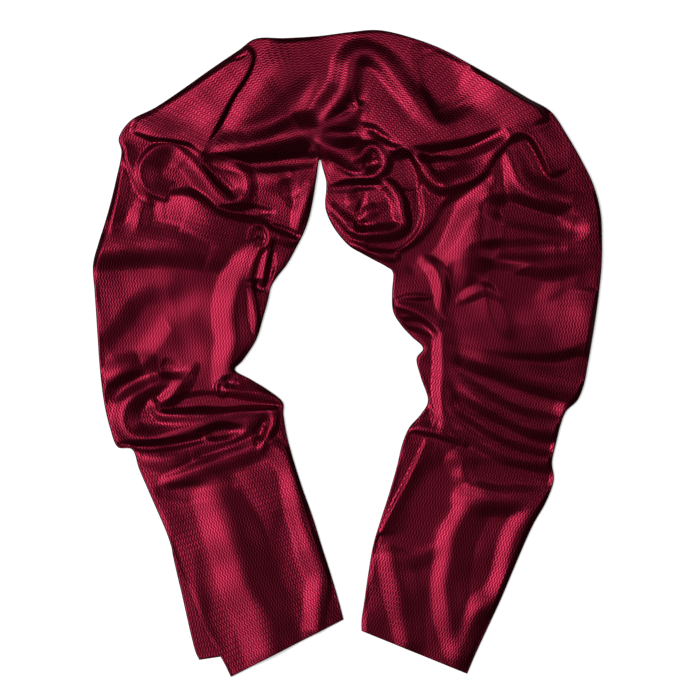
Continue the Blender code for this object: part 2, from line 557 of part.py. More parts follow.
def satin(name, colour):
    material = bpy.data.materials.new(name)
    material.use_nodes = True
    shader = material.node_tree.nodes["Principled BSDF"]
    shader.inputs["Base Color"].default_value = colour
    shader.inputs["Roughness"].default_value = 0.4
    shader.inputs["Metallic"].default_value = 0.0
    return material


def clear_scene():
    for thing in list(bpy.data.objects):
        bpy.data.objects.remove(thing)


def make_walls(walls):
    for name, (upper, lower) in walls.items():
        points, faces = closed_grid(to_part(upper), to_part(lower))
        add_object(name, points, faces, satin(name + "_satin", SATIN))


def make_hidden_layers(walls):
    for name in STRETCHES_WITH_CORE:
        top = core_grid(*walls[name])
        bottom = top.copy()
        bottom[..., 2] = 0.0
        points, faces = closed_grid(to_part(top), to_part(bottom))
        add_object("hidden_layers_" + name, points, faces, satin(name + "_hidden_satin", SATIN_SHADE))


def make_under_layer():
    """The lower half of the left tail: a flat outline given its thickness."""
    outline = np.column_stack((np.array(UNDER_OUTLINE, float), np.zeros(len(UNDER_OUTLINE))))
    form = bmesh.new()
    face = form.faces.new([form.verts.new(p) for p in to_part(outline)])
    raised = bmesh.ops.extrude_face_region(form, geom=[face])
    lifted = [v for v in raised["geom"] if isinstance(v, bmesh.types.BMVert)]
    bmesh.ops.translate(form, verts=lifted, vec=(0, 0, WALL * MM))
    bmesh.ops.recalc_face_normals(form, faces=form.faces)
    mesh = bpy.data.meshes.new("left_tail_under")
    form.to_mesh(mesh)
    form.free()
    mesh.materials.append(satin("left_tail_under_satin", SATIN_SHADE))
    thing = bpy.data.objects.new("left_tail_under", mesh)
    bpy.context.scene.collection.objects.link(thing)


clear_scene()
WALLS = wall_grids(strip_grid())
make_walls(WALLS)
make_hidden_layers(WALLS)
make_under_layer()
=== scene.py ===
# %% [markdown]
# # A satin scarf laid in an arch
#
# The object is one long strip of burgundy jacquard satin. It lies on a pale table in an arch,
# folded once lengthwise in the tails and loosely gathered round the curve. The solids of the
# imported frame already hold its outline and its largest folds. This script dresses them: it
# makes a fine sheet of cloth for each stretch, gives it every fold that shows, and weaves and
# lights the satin.

# %% Open the frame
from collections import namedtuple

import bmesh
import bpy
import numpy as np
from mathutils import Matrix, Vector
from mathutils.bvhtree import BVHTree


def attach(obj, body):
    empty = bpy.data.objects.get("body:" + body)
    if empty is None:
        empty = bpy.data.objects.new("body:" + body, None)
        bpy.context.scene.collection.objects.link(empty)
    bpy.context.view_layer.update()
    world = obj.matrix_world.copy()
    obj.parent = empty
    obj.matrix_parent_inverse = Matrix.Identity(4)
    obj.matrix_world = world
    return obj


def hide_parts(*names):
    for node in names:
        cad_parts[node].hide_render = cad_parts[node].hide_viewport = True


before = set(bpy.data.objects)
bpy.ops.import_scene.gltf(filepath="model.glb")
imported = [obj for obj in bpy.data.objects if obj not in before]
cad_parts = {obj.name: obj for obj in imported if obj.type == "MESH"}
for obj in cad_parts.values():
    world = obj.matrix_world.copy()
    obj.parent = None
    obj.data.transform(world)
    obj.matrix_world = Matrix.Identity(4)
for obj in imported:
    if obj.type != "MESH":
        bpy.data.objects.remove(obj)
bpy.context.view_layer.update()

print("solids in the frame:", sorted(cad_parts))

# %% [markdown]
# ## The laying board
#
# Cloth is easiest to describe where it lies. All plan places below are millimetres on a
# 700 mm laying board, x to the right from its left edge and y towards the viewer from its far
# edge. One function turns them into the frame's metres, with +Y away from the viewer.

# %% The board and the cloth's own sizes
MM = 0.001
BOARD_SIDE = 700.0
BOARD_MIDDLE = np.array((347.0, 353.0))
# The cloth's lowest height, its folded edges and the return below them
CLOTH_LIFT = 0.25
EDGE_LEAST_RADIUS = 0.7
LOFT_KEPT = 0.45
UNDER_RETURN = 13.0
# How near an edge the folds fade out, and how low a trough may go
FOLD_FADE = 5.5
LEAST_AT_EDGE = 1.0
LEAST_RISE = 0.8
LEAST_RISE_RUN = 6.0
LEAST_BLEND = 0.6
# Where a pile of crests is pressed down, and the share of its height kept there
PILE_HEIGHT = 19.0
PILE_BLEND = 6.0
PILE_KEPT = 0.5


def to_frame(points):
    """Board millimetres to the frame's metres."""
    x = points[..., 0] - BOARD_MIDDLE[0]
    y = BOARD_MIDDLE[1] - points[..., 1]
    return np.stack((x, y, points[..., 2]), axis=-1) * MM


print("board middle in the frame:", to_frame(np.append(BOARD_MIDDLE, 0.0)))

# %% [markdown]
# ## The outline, section by section
#
# A maker would describe this shape with a row of straight sections across the strip, like the
# ribs of a boat. Each row below says where a section starts on the arch's outer edge and where
# it ends on the inner edge, in the order in which the strip runs from the left hem to the
# right hem. loft is how high the cloth stands just inside its edges, and ledge is how far the
# outer edge is lifted by a layer that lies under it.

# %% Sections
Section = namedtuple("Section", "outer_x outer_y inner_x inner_y loft ledge", defaults=(0.0,))
SECTIONS = [
    Section(230.5, 677, 343.5, 619.5, 1.6, 1.5),
    Section(222, 660, 339, 602, 2.0, 1.5),
    Section(206, 634, 331, 575, 2.5, 1.5),
    Section(192, 600, 322, 547, 2.8, 1.5),
    Section(178, 569, 313, 518, 3.0, 1.5),
    Section(167, 535, 303, 490, 3.4, 1.2),
    Section(152, 500, 294, 462, 4.0, 0.6),
    Section(139, 470, 287, 436, 4.6),
    Section(132, 450, 283.5, 415, 5.2),
    Section(117, 447, 282.5, 402, 6.0),
    Section(109.5, 428, 268, 390, 6.4),
    Section(104, 405, 250, 379, 6.6),
    Section(100.5, 380, 235, 370, 6.6),
    Section(98.5, 358, 243, 360, 6.6),
    Section(97, 335, 256, 340, 6.6),
    Section(95.5, 312, 263, 318, 6.8),
    Section(94, 290, 268, 300, 7.0),
    Section(92.5, 265, 271, 287, 7.0),
    Section(98, 243, 277, 277, 7.0),
    Section(104, 224, 287, 264, 7.0),
    Section(110, 203, 296, 248, 7.0),
    Section(115.5, 180, 304, 232, 7.0),
    Section(121, 153, 309, 218, 7.0),
    Section(118.5, 137, 312, 205, 7.0),
    Section(131, 119.5, 314, 194, 7.5),
    Section(155, 107, 315.5, 184, 8.0),
    Section(182, 89, 316.8, 176, 8.0),
    Section(210, 69, 317.5, 170, 8.0),
    Section(238, 50, 318, 166, 8.0),
    Section(256, 38, 318.5, 162.5, 8.0),
    Section(285, 37.5, 319, 160.5, 7.5),
    Section(318, 35.5, 320, 159.5, 7.5),
    Section(350, 31.5, 321, 161, 7.5),
    Section(378, 29.5, 322, 166, 7.5),
    Section(408, 36, 324, 173, 7.5),
    Section(440, 47.5, 326, 181, 7.5),
    Section(470, 63.5, 326, 191, 7.5),
    Section(500, 80.5, 325, 201, 7.5),
    Section(527, 97, 326, 211, 7.5),
    Section(551, 111, 331, 223, 7.5),
    Section(567, 134, 339, 235, 7.5),
    Section(582, 160, 350, 246.5, 7.5),
    Section(594, 185, 362, 253.5, 7.5),
    Section(601, 212, 374, 260, 7.5),
    Section(602.5, 240, 386, 266.5, 7.5),
    Section(602, 266, 393, 273, 7.5),
    Section(599.5, 292, 392, 292, 7.0),
    Section(596, 318, 393, 311, 7.0),
    Section(592, 343, 401, 325, 6.6),
    Section(588, 366, 412, 337, 6.6),
    Section(584.5, 384, 423, 348, 6.6),
    Section(578, 400, 416.5, 359, 6.4),
    Section(566.5, 411.5, 421, 378, 6.2),
    Section(561, 425, 428, 400, 6.0),
    Section(557, 441, 421, 414, 5.6),
    Section(552.5, 462, 409, 428, 5.0),
    Section(554, 481, 402, 445, 4.4),
    Section(546, 503, 397, 466, 3.8),
    Section(534, 524, 389, 494, 3.4),
    Section(523, 548, 380, 522, 3.2),
    Section(512, 574, 373, 546, 3.0),
    Section(501, 600, 368, 575, 2.8),
    Section(488, 628, 364, 603, 2.4),
    Section(476, 654, 361.5, 620, 2.0),
    Section(467.5, 674, 361.5, 631, 1.6),
]
print("sections across the strip:", len(SECTIONS))

# %% [markdown]
# ## The folds
#
# Each fold is a row too. Its path runs along the crest, or along the floor of a trough, which
# has a height below zero. near is how far the fold reaches on the right hand of the path, seen
# from above, and far is how far on the left. lean is how far the crest overhangs for each
# millimetre of height. start and end are the shares of the height left at the path's ends, and
# crisp turns a round crest into a sharp crease. The folds are placed region by region,
# because in satin every crease is seen twice: as a shape and as a band of light.

# %% Folds of the crown
Fold = namedtuple("Fold", "path height near far lean start end crisp", defaults=(0.0, 0.4, 0.4, 0.0))
CROWN_FOLDS = [
    # The flap at the left end, which ends in a sharp crest
    Fold([(203, 151), (212, 134), (222, 114), (232, 95), (243, 79), (250, 65), (251, 54), (243, 46)],
         12, 5, 56, 0.5, 0.5, 0.5, 0.5),
    Fold([(138, 131), (155, 136), (175, 139), (190, 142), (203, 151)], 10, 6, 26, 0.3, 0.5, 0.9, 0.3),
    Fold([(232, 78), (205, 105), (165, 127)], -2, 12, 12),
    # The broad field in the middle and the roll along its front
    Fold([(243, 120), (262, 92), (285, 62), (300, 42)], 7, 38, 22, 0.0, 0.6, 0.6),
    Fold([(308, 84), (291, 108), (270, 126), (248, 136)], -3, 14, 9, 0.0, 0.3, 0.7),
    Fold([(203, 151), (235, 147), (262, 143), (288, 137), (312, 133), (325, 142), (340, 151), (356, 160)],
         13, 17, 18, 0.2, 0.5, 0.8, 0.3),
    Fold([(215, 160), (260, 163), (312, 160)], -5, 8, 8, 0.0, 0.6, 0.8),
    # The centre loop
    Fold([(318, 128), (328, 112), (338, 100), (345, 88), (348, 76), (350, 64), (356, 56), (364, 53),
          (375, 56)], 12, 14, 15, 0.2, 0.6, 0.4, 0.2),
    Fold([(446, 126), (433, 122), (423, 113), (412, 98), (400, 82), (388, 66), (375, 56), (364, 53)],
         8, 12, 12, 0.0, 0.5, 0.6, 0.2),
    Fold([(424, 54), (434, 80), (443, 108)], -9, 12, 36, 0.0, 0.5, 0.7),
    Fold([(484, 62), (504, 78), (525, 94), (541, 117)], 15, 48, 7, 0.0, 0.3, 0.9),
    # Small folds that meet over the top of the slit
    Fold([(359, 107), (354, 97), (351, 84)], 5, 4, 5, 0.0, 0.8, 0.3, 0.8),
    Fold([(330, 107), (343, 106), (357, 108)], 4, 5, 5, 0.0, 0.2, 0.9, 0.6),
    Fold([(320, 128), (333, 123), (347, 117), (359, 109)], 7, 12, 8, 0.2, 0.6, 0.7, 0.3),
    Fold([(322, 135), (340, 138), (356, 135)], -5, 9, 9),
    # The wide bright facet and its lower edge
    Fold([(367, 120), (378, 123), (389, 132), (400, 140), (415, 144), (440, 143), (468, 136), (500, 125),
          (530, 114), (549, 108)], 9, 9, 44, 0.3, 0.5, 0.5, 0.4),
    Fold([(405, 155), (430, 152), (465, 148), (497, 137)], -5, 9, 9),
    Fold([(432, 163), (450, 162)], 3, 8, 8),
]

# %% Folds of the right arm
RIGHT_ARM_FOLDS = [
    # The shoulder and the deep hollow beside it
    Fold([(374, 139), (388, 147), (400, 150), (412, 152), (420, 161), (427, 173), (436, 183), (445, 186)],
         10, 10, 10, 0.3, 0.4, 0.9, 0.5),
    Fold([(404, 152), (413, 166), (416, 184)], -9, 20, 5, 0.0, 0.6, 0.7),
    Fold([(445, 186), (462, 182), (476, 177), (486, 167), (493, 155), (502, 145), (510, 136)],
         12, 9, 16, 0.4, 0.8, 0.9, 0.3),
    Fold([(510, 136), (519, 132), (530, 135), (538, 145), (545, 159), (550, 172)],
         13, 5.5, 22, 0.2, 0.8, 0.6, 0.3),
    Fold([(508, 152), (513, 165), (519, 181), (530, 191), (548, 198), (572, 203)],
         12, 15, 17, 0.0, 0.6, 0.3, 0.3),
    Fold([(495, 206), (530, 214), (572, 226)], -8, 14, 13, 0.0, 0.6, 0.6),
    Fold([(590, 190), (598, 212), (600, 250)], 5, 38, 5, 0.0, 0.3, 0.3),
    Fold([(480, 249), (520, 249), (556, 248)], -5, 10, 9),
    Fold([(500, 264), (540, 268), (582, 262)], 3, 12, 10),
    # The long sweep down to the inner edge
    Fold([(496, 168), (488, 184), (483, 204), (481, 228), (477, 250), (468, 270)],
         9, 32, 18, 0.0, 0.7, 0.6, 0.2),
    Fold([(484, 182), (468, 195), (452, 208), (438, 230), (423, 246), (407, 256)], -8, 9, 18, 0.0, 0.5, 0.8),
    Fold([(478, 262), (500, 275), (530, 283), (560, 278)], -4, 14, 14),
    Fold([(455, 272), (452, 295), (447, 318)], -3, 9, 30, 0.0, 0.7, 0.7),
    Fold([(460, 300), (485, 289), (508, 300)], 3, 7, 7),
    Fold([(497, 283), (506, 300), (511, 322)], -7, 14, 40, 0.0, 0.5, 0.8),
    Fold([(601, 296), (597, 322), (590, 350)], 9, 38, 6, 0.0, 0.5, 0.8),
    # The bulge beside the slit
    Fold([(335, 211), (342, 218), (351, 227), (363, 233), (382, 233), (397, 231), (405, 223), (402, 212),
          (399, 199), (391, 187), (381, 180)], 8, 8, 8, 0.3, 0.5, 0.6, 0.2),
    Fold([(417, 190), (419, 213), (411, 234), (393, 247), (370, 248)], -6, 13, 4, 0.0, 0.6, 0.6),
    Fold([(350, 246), (368, 251), (385, 256), (397, 258)], 5, 6, 7),
    Fold([(352, 178), (370, 177), (379, 173), (384, 165), (384, 156), (378, 148), (371, 146), (363, 152),
          (356, 160)], 9, 8, 8, 0.3, 0.5, 0.8, 0.4),
    Fold([(362, 163), (374, 163)], -6, 7, 7),
    Fold([(352, 178), (340, 172), (329, 163)], 5, 5, 14, 0.2, 0.8, 0.5, 0.2),
    Fold([(335, 188), (355, 185), (378, 184)], -4, 6, 6),
    Fold([(345, 203), (360, 201)], 3, 8, 8),
    Fold([(364, 196), (361, 208), (357, 220)], -3, 4, 4),
    Fold([(362, 215), (378, 208)], 3, 7, 7),
    Fold([(354, 226), (369, 226)], -5, 6, 6),
    # The inner side
    Fold([(394, 300), (410, 297), (428, 297)], 3, 4, 4, 0.0, 0.5, 0.4, 0.4),
    Fold([(392, 304), (410, 309), (428, 318), (438, 328)], 6, 6, 8, 0.3, 0.7, 0.8, 0.3),
    Fold([(402, 322), (420, 326), (432, 334)], -5, 6, 6),
    Fold([(424, 258), (438, 272), (444, 292), (446, 316)], 5, 9, 8),
    Fold([(442, 330), (443, 365), (442, 395), (443, 428)], 6, 9, 14, 0.0, 0.7, 0.8, 0.1),
    # The drapes across the arm
    Fold([(446, 336), (480, 345), (520, 351), (560, 349), (592, 338)], 8, 10, 34, 0.0, 0.6, 0.8),
    Fold([(452, 350), (485, 360), (525, 373), (560, 386), (582, 394)], 6, 13, 14, 0.0, 0.6, 0.7),
    Fold([(464, 368), (485, 382), (512, 397), (550, 407)], -5, 12, 14, 0.0, 0.5, 0.7),
    Fold([(446, 378), (475, 396), (497, 410), (517, 420), (537, 428), (556, 433)],
         7, 11, 15, 0.0, 0.5, 0.7, 0.1),
    Fold([(458, 406), (490, 426), (520, 440), (552, 448)], -5, 10, 12, 0.0, 0.5, 0.7),
    Fold([(444, 416), (470, 433), (496, 448), (522, 458), (549, 465)], 7, 10, 14, 0.0, 0.5, 0.7, 0.1),
    Fold([(462, 468), (500, 477), (545, 477)], -5, 12, 13, 0.0, 0.4, 0.7),
]

# %% Folds of the right tail
RIGHT_TAIL_FOLDS = [
    # The corner under the arm and the sharp crest that runs down from it
    Fold([(407, 427), (425, 430), (442, 434), (462, 443)], 6, 6, 9, 0.5, 0.6, 0.5, 0.3),
    Fold([(430, 405), (435, 416), (433, 429)], 3, 3, 4, 0.0, 0.5, 0.5, 0.5),
    Fold([(381, 532), (392, 510), (404, 488), (414, 468), (426, 442)], 3, 9, 3, 0.0, 0.5, 0.6, 0.9),
    Fold([(450, 460), (437, 488), (425, 512), (416, 534)], -6, 22, 24, 0.0, 0.3, 0.8),
    Fold([(452, 450), (462, 466), (470, 480)], 3, 12, 12),
    # The crease across the tail and what hangs from it
    Fold([(377, 541), (400, 541), (430, 540)], -3, 13, 9, 0.0, 0.8, 0.4, 0.8),
    Fold([(380, 557), (405, 557), (430, 549)], 2.5, 13, 11),
    Fold([(391, 556), (397, 580), (403, 605), (409, 640)], 4.5, 14, 16, 0.0, 0.7, 0.7),
    # The two long swells
    Fold([(462, 499), (500, 500), (545, 503)], 5, 14, 14, 0.0, 0.6, 0.7),
    Fold([(482, 496), (466, 515), (455, 540), (449, 570), (448, 605), (456, 646)], 5, 14, 17, 0.0, 0.7, 0.7),
    Fold([(550, 499), (531, 515), (519, 535), (512, 556), (507, 580), (496, 600), (479, 613), (469, 635),
          (463, 655)], 5.5, 14, 12, 0.0, 0.7, 0.7),
]

# %% Folds of the left arm
LEFT_ARM_FOLDS = [
    # The lobe and the teardrop loop under the crown
    Fold([(121, 148), (130, 166), (140, 188), (150, 202)], 4, 5, 12, 0.1, 0.6, 0.4, 0.7),
    Fold([(186, 156), (178, 148), (168, 145), (158, 147), (148, 154), (141, 164), (140, 176), (144, 186),
          (152, 193), (165, 198)], 7, 5, 17, 0.0, 0.7, 0.9, 0.7),
    Fold([(165, 198), (185, 197), (200, 203), (215, 215), (232, 222), (255, 226)],
         12, 32, 9, 0.0, 0.3, 0.6, 0.2),
    Fold([(184, 153), (198, 168), (212, 186), (223, 198), (233, 203), (242, 199)],
         9, 13, 10, 0.1, 0.7, 0.9, 0.2),
    Fold([(233, 203), (242, 199), (248, 189), (247, 178), (239, 167), (227, 160), (214, 157), (203, 153)],
         7, 7, 12, 0.0, 0.9, 0.5, 0.6),
    Fold([(206, 166), (220, 181), (233, 194)], -5, 5, 6),
    Fold([(225, 209), (245, 211), (268, 212)], -6, 6, 6),
    # The inner side and its small curl
    Fold([(255, 180), (278, 178), (296, 176)], 3, 14, 9),
    Fold([(286, 178), (292, 200)], -4, 8, 8),
    Fold([(311, 186), (302, 215), (298, 230)], 5, 9, 6),
    Fold([(250, 237), (252, 229), (258, 225), (265, 227), (269, 234), (268, 243), (262, 248)],
         7, 5, 6, 0.2, 0.6, 0.6, 0.4),
    Fold([(253, 239), (259, 235), (264, 240)], 4, 3, 3),
    Fold([(250, 276), (254, 262), (260, 249)], 5, 4, 5, 0.1, 0.7, 0.6, 0.3),
    Fold([(262, 283), (265, 266), (269, 249)], 6, 5, 6, 0.1, 0.7, 0.6, 0.2),
    Fold([(272, 255), (270, 272), (268, 290)], -4, 4, 4),
    Fold([(253, 284), (266, 288)], -5, 6, 6),
    Fold([(276, 270), (274, 284)], 3, 4, 4),
    Fold([(270, 233), (282, 238), (297, 243)], 5, 7, 8),
    Fold([(272, 225), (288, 232), (302, 238)], -4, 4, 4),
    # The outer side
    Fold([(122, 172), (116, 205), (110, 235)], 5, 6, 8, 0.0, 0.6, 0.6),
    Fold([(142, 208), (136, 228), (122, 246)], 5, 10, 10, 0.0, 0.6, 0.6),
    Fold([(96, 250), (125, 247), (160, 246), (185, 249), (207, 256)], 10, 18, 20, 0.0, 0.9, 0.5),
    # Down the arm
    Fold([(256, 252), (248, 265), (240, 282), (234, 300), (233, 320), (236, 340), (231, 358), (228, 376)],
         7, 17, 14, 0.0, 0.7, 0.6),
    Fold([(258, 334), (255, 310), (251, 290), (249, 273)], 5, 5, 8, 0.2, 0.5, 0.7, 0.6),
    Fold([(172, 304), (156, 310), (144, 325), (130, 343), (112, 356)], -6, 22, 20, 0.0, 0.5, 0.6),
    Fold([(160, 366), (178, 372)], -4, 9, 9),
    Fold([(106, 378), (122, 368), (140, 362)], 5, 12, 14),
    Fold([(108, 398), (126, 386), (150, 378)], -5, 9, 9),
    Fold([(190, 372), (180, 385), (168, 400), (160, 405)], 6, 9, 9),
    # The cuff of folds over the tail
    Fold([(170, 381), (152, 385), (137, 394), (127, 405), (124, 417), (127, 429), (137, 437), (153, 439),
          (175, 434), (200, 427), (225, 423), (245, 421)], 8, 11, 12, 0.0, 0.5, 0.6),
    Fold([(272, 411), (245, 411), (220, 415), (190, 416), (165, 414), (155, 405)],
         8, 7, 10, 0.3, 0.8, 0.5, 0.2),
    Fold([(165, 408), (195, 402), (225, 402), (272, 403)], -8, 8, 9, 0.0, 0.5, 0.5),
    Fold([(221, 377), (217, 385), (217, 393), (222, 396), (227, 392)], 4, 3, 4, 0.0, 0.5, 0.5, 0.6),
    Fold([(224, 380), (232, 383)], -5, 6, 6),
    Fold([(226, 392), (245, 397), (262, 399), (278, 401)], 7, 5, 14, 0.0, 0.7, 0.7, 0.3),
    Fold([(205, 433), (235, 430)], -7, 8, 8),
    Fold([(160, 450), (195, 447), (225, 440), (245, 430), (255, 420)], 3, 8, 8, 0.0, 0.4, 0.6),
    Fold([(122, 446), (160, 446), (200, 440)], -6, 5, 6),
    Fold([(272, 414), (273, 424), (267, 436), (262, 447)], 7, 6, 6, 0.0, 0.6, 0.8),
    Fold([(262, 425), (258, 440)], -5, 6, 6),
]

# %% Folds of the left tail
LEFT_TAIL_FOLDS = [
    Fold([(142, 458), (165, 459), (190, 455)], 5, 12, 8),
    Fold([(170, 480), (195, 471), (222, 460), (245, 451), (262, 443)], 7, 13, 9, 0.0, 0.4, 0.8, 0.2),
    Fold([(165, 491), (195, 490), (228, 486)], -3, 10, 8),
    # The long crest beside the inner edge
    Fold([(318, 630), (321, 605), (325, 580), (320, 560), (311, 540), (304, 520), (300, 495), (295, 470),
          (284, 453), (268, 443)], 6, 8, 15, 0.0, 0.8, 0.8, 0.1),
    # The broad swell down the tail and the hollow beside it
    Fold([(214, 496), (232, 538), (245, 578), (258, 612), (270, 648)], 7, 22, 26, 0.0, 0.7, 1.0),
    Fold([(205, 565), (216, 610), (224, 645)], -2, 12, 12),
    Fold([(285, 520), (292, 560), (300, 600)], -2, 16, 10),
]
FOLDS = CROWN_FOLDS + RIGHT_ARM_FOLDS + RIGHT_TAIL_FOLDS + LEFT_ARM_FOLDS + LEFT_TAIL_FOLDS
print("folds:", len(FOLDS))

# %% [markdown]
# ## From tables to a surface
#
# A smooth curve is read through each fold's path, and every place on the cloth asks how far it
# is from that curve and on which side. The answer gives the fold's height there. A leaning
# fold also pushes the cloth sideways in step with that height. That is a shear, so a crest can
# hang over its foot without the sheet ever passing through itself.

# %% Curves and distances
CHUNK = 20000
PATH_STEP = 3.0


def with_ends(points):
    """The points with one more past each end, in line with the last two there."""
    return np.vstack((2 * points[0] - points[1], points, 2 * points[-1] - points[-2]))


def curve_between(before, start, end, after, t):
    """A Catmull-Rom curve, a share t of the way from start to end."""
    return 0.5 * (2 * start + (end - before) * t
                  + (2 * before - 5 * start + 4 * end - after) * t * t
                  + (3 * start - before - 3 * end + after) * t ** 3)


def smooth_path(points, step):
    """Points along a smooth curve through the given ones, about step apart."""
    points = np.asarray(points, float)
    ends = with_ends(points)
    found = []
    for i in range(1, len(ends) - 2):
        before, start, end, after = ends[i - 1 : i + 3]
        count = max(2, int(np.ceil(np.linalg.norm(end - start) / step)))
        found += [curve_between(before, start, end, after, t) for t in np.arange(count) / count]
    found.append(points[-1])
    return np.array(found)


def gone_along(path):
    """How far along a path each of its points lies."""
    return np.concatenate(([0.0], np.cumsum(np.linalg.norm(np.diff(path, axis=0), axis=1))))


def nearest_on(path, places):
    """For each place: distance to the right of the path, overrun past its ends, share along it
    and the path's unit normal to the right there."""
    starts = path[:-1]
    runs = path[1:] - starts
    lengths = np.linalg.norm(runs, axis=1)
    reach = places[:, None, :] - starts[None]
    shares = np.clip((reach * runs).sum(axis=2) / lengths ** 2, 0, 1)
    gaps = reach - shares[..., None] * runs
    piece = (gaps ** 2).sum(axis=2).argmin(axis=1)
    rows = np.arange(len(places))
    share = shares[rows, piece]
    gap = gaps[rows, piece]
    along = runs[piece] / lengths[piece, None]
    right = np.stack((-along[:, 1], along[:, 0]), axis=1)
    side = (reach[rows, piece] * right).sum(axis=1)
    beside = np.where(side < 0, -1.0, 1.0) * np.linalg.norm(gap, axis=1)
    past_end = ((piece == 0) & (share == 0)) | ((piece == len(runs) - 1) & (share == 1))
    distance = np.where(past_end, side, beside)
    overrun = np.where(past_end, np.abs((gap * along).sum(axis=1)), 0.0)
    gone = gone_along(path)
    return distance, overrun, (gone[piece] + share * lengths[piece]) / gone[-1], right


def in_chunks(places):
    return [places[i : i + CHUNK] for i in range(0, len(places), CHUNK)]


print("points along the first fold's path:", len(smooth_path(FOLDS[0].path, PATH_STEP)))

# %% [markdown]
# The tables give the folds of freshly gathered cloth. It then settles: every crest sinks to a
# share of its height and spreads a little wider. Towards the ends of its path a fold gets lower
# and slimmer.

# %% One fold's form
SETTLED = 0.58
SPREAD = 1.35
LEAN_KEPT = 0.4
TAPER = 0.4
SLIMMEST = 0.5
END_REACH = 1.5
CREST_SHARPEST = 0.2
CREST_ROUNDEST = 0.9
FOOT_SOFTNESS = 1.7


def fold_profile(gone, crisp):
    """Share of the crest's height left at a share of the fold's reach: a round crest, an even
    slope and a soft foot."""
    crest = CREST_ROUNDEST + (CREST_SHARPEST - CREST_ROUNDEST) * crisp
    fallen = (np.sqrt(gone ** 2 + crest ** 2) - crest) / (np.sqrt(1 + crest ** 2) - crest)
    return np.clip(1 - fallen, 0, None) ** FOOT_SOFTNESS


def fold_form(fold, places):
    """Height that the fold adds at each place, and how far it pushes the cloth sideways."""
    distance, overrun, place, right = nearest_on(smooth_path(fold.path, PATH_STEP), places)
    share = (
        1
        - (1 - fold.start) * np.clip(1 - place / TAPER, 0, 1) ** 2
        - (1 - fold.end) * np.clip(1 - (1 - place) / TAPER, 0, 1) ** 2
    )
    crest = SETTLED * fold.height * share
    offset = distance + LEAN_KEPT * fold.lean * np.abs(crest)
    slim = SLIMMEST + (1 - SLIMMEST) * share
    width = np.where(offset > 0, fold.near * SPREAD, fold.far * SPREAD) * slim
    end_width = END_REACH * min(fold.near, fold.far)
    gone = np.sqrt((offset / width) ** 2 + (overrun / end_width) ** 2)
    height = crest * fold_profile(gone, fold.crisp)
    return height, right * (LEAN_KEPT * fold.lean * np.abs(height))[:, None]


print("share of a crest left halfway out: %.2f if round, %.2f if sharp"
      % (fold_profile(0.5, 0.0), fold_profile(0.5, 1.0)))

# %% All the folds together
RIDGE_BLEND = 1.5
REACH_MARGIN = 3.0


def all_folds(places):
    """Height and sideways push of all the folds together. The higher ridge wins where two
    meet, with a soft valley between them, and troughs are taken off what is left."""
    ridges = np.ones(len(places))
    troughs = np.zeros(len(places))
    push = np.zeros((len(places), 2))
    for fold in FOLDS:
        path = np.array(fold.path, float)
        reach = max(SPREAD * fold.near, SPREAD * fold.far) + fold.lean * abs(fold.height) + REACH_MARGIN
        close = (places > path.min(axis=0) - reach) & (places < path.max(axis=0) + reach)
        for part in in_chunks(np.flatnonzero(close.all(axis=1))):
            added, moved = fold_form(fold, places[part])
            if fold.height < 0:
                troughs[part] += added
                continue
            weight = np.exp(added / RIDGE_BLEND)
            ridges[part] += weight - 1
            push[part] += weight[:, None] * moved
    return RIDGE_BLEND * np.log(ridges) + troughs, push / ridges[:, None]


# %% [markdown]
# ## Small ripples
#
# Between the named folds, satin is never quite flat. A few long, low waves that cross at
# uneven angles keep the light moving over it. They are summed sines, so the cloth is the same
# each time.

# %% Ripples
Ripple = namedtuple("Ripple", "length heading height phase")
RIPPLES = [
    Ripple(83.0, 24.0, 0.32, 0.3),
    Ripple(58.0, 105.0, 0.30, 1.9),
    Ripple(43.0, 62.0, 0.16, 4.1),
    Ripple(29.0, 150.0, 0.08, 2.7),
]
DRIFT = 5.0
DRIFT_RUN_X = 61.0
DRIFT_RUN_Y = 83.0


def ripples(places):
    """Height of all the ripples. Each one's crests drift from side to side by a few millimetres."""
    height = np.zeros(len(places))
    for ripple in RIPPLES:
        heading = np.radians(ripple.heading)
        across = places @ np.array((np.cos(heading), np.sin(heading)))
        drift = DRIFT * np.sin(places[:, 0] / DRIFT_RUN_X + places[:, 1] / DRIFT_RUN_Y + ripple.phase)
        height += ripple.height * np.sin(2 * np.pi * (across + drift) / ripple.length + ripple.phase)
    return height


print("height of the ripples together: %.2f mm" % sum(ripple.height for ripple in RIPPLES))

# %% [markdown]
# ## Clear of what lies below
#
# The cloth lies on its hidden layers, so a deep trough must stop just above them. A ray cast
# straight down over each place says how high their solids stand there.

# %% The hidden layers' tops
HIDDEN_CLEARANCE = 0.5
RAY_START = 0.1


def layer_trees():
    """One search tree for each hidden layer's solid."""
    trees = []
    for name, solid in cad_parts.items():
        if name.startswith("hidden_layers"):
            corners = [solid.matrix_world @ corner.co for corner in solid.data.vertices]
            faces = [tuple(face.vertices) for face in solid.data.polygons]
            trees.append(BVHTree.FromPolygons(corners, faces))
    return trees


def layer_tops(places):
    """Height of the hidden layers at each board place, in millimetres."""
    starts = to_frame(np.column_stack((places, np.full(len(places), RAY_START / MM))))
    tops = np.zeros(len(places))
    down = Vector((0.0, 0.0, -1.0))
    for tree in LAYER_TREES:
        for i, start in enumerate(starts):
            found = tree.ray_cast(Vector(start), down)[0]
            if found is not None:
                tops[i] = max(tops[i], found.z / MM)
    return tops


LAYER_TREES = layer_trees()
print("hidden layers to lie on:", len(LAYER_TREES))

# %% [markdown]
# ## The sheet's sections
#
# Each section of the sheet starts a little way in under the outer edge, comes out along the
# table, turns up round the folded edge, crosses the top, and turns under again at the inner
# edge. So the edges are round folds with a thin return below them, as real folded cloth is,
# and there is no raw border to see from the side.

# %% Sections read from the table
EDGE_READS = 6


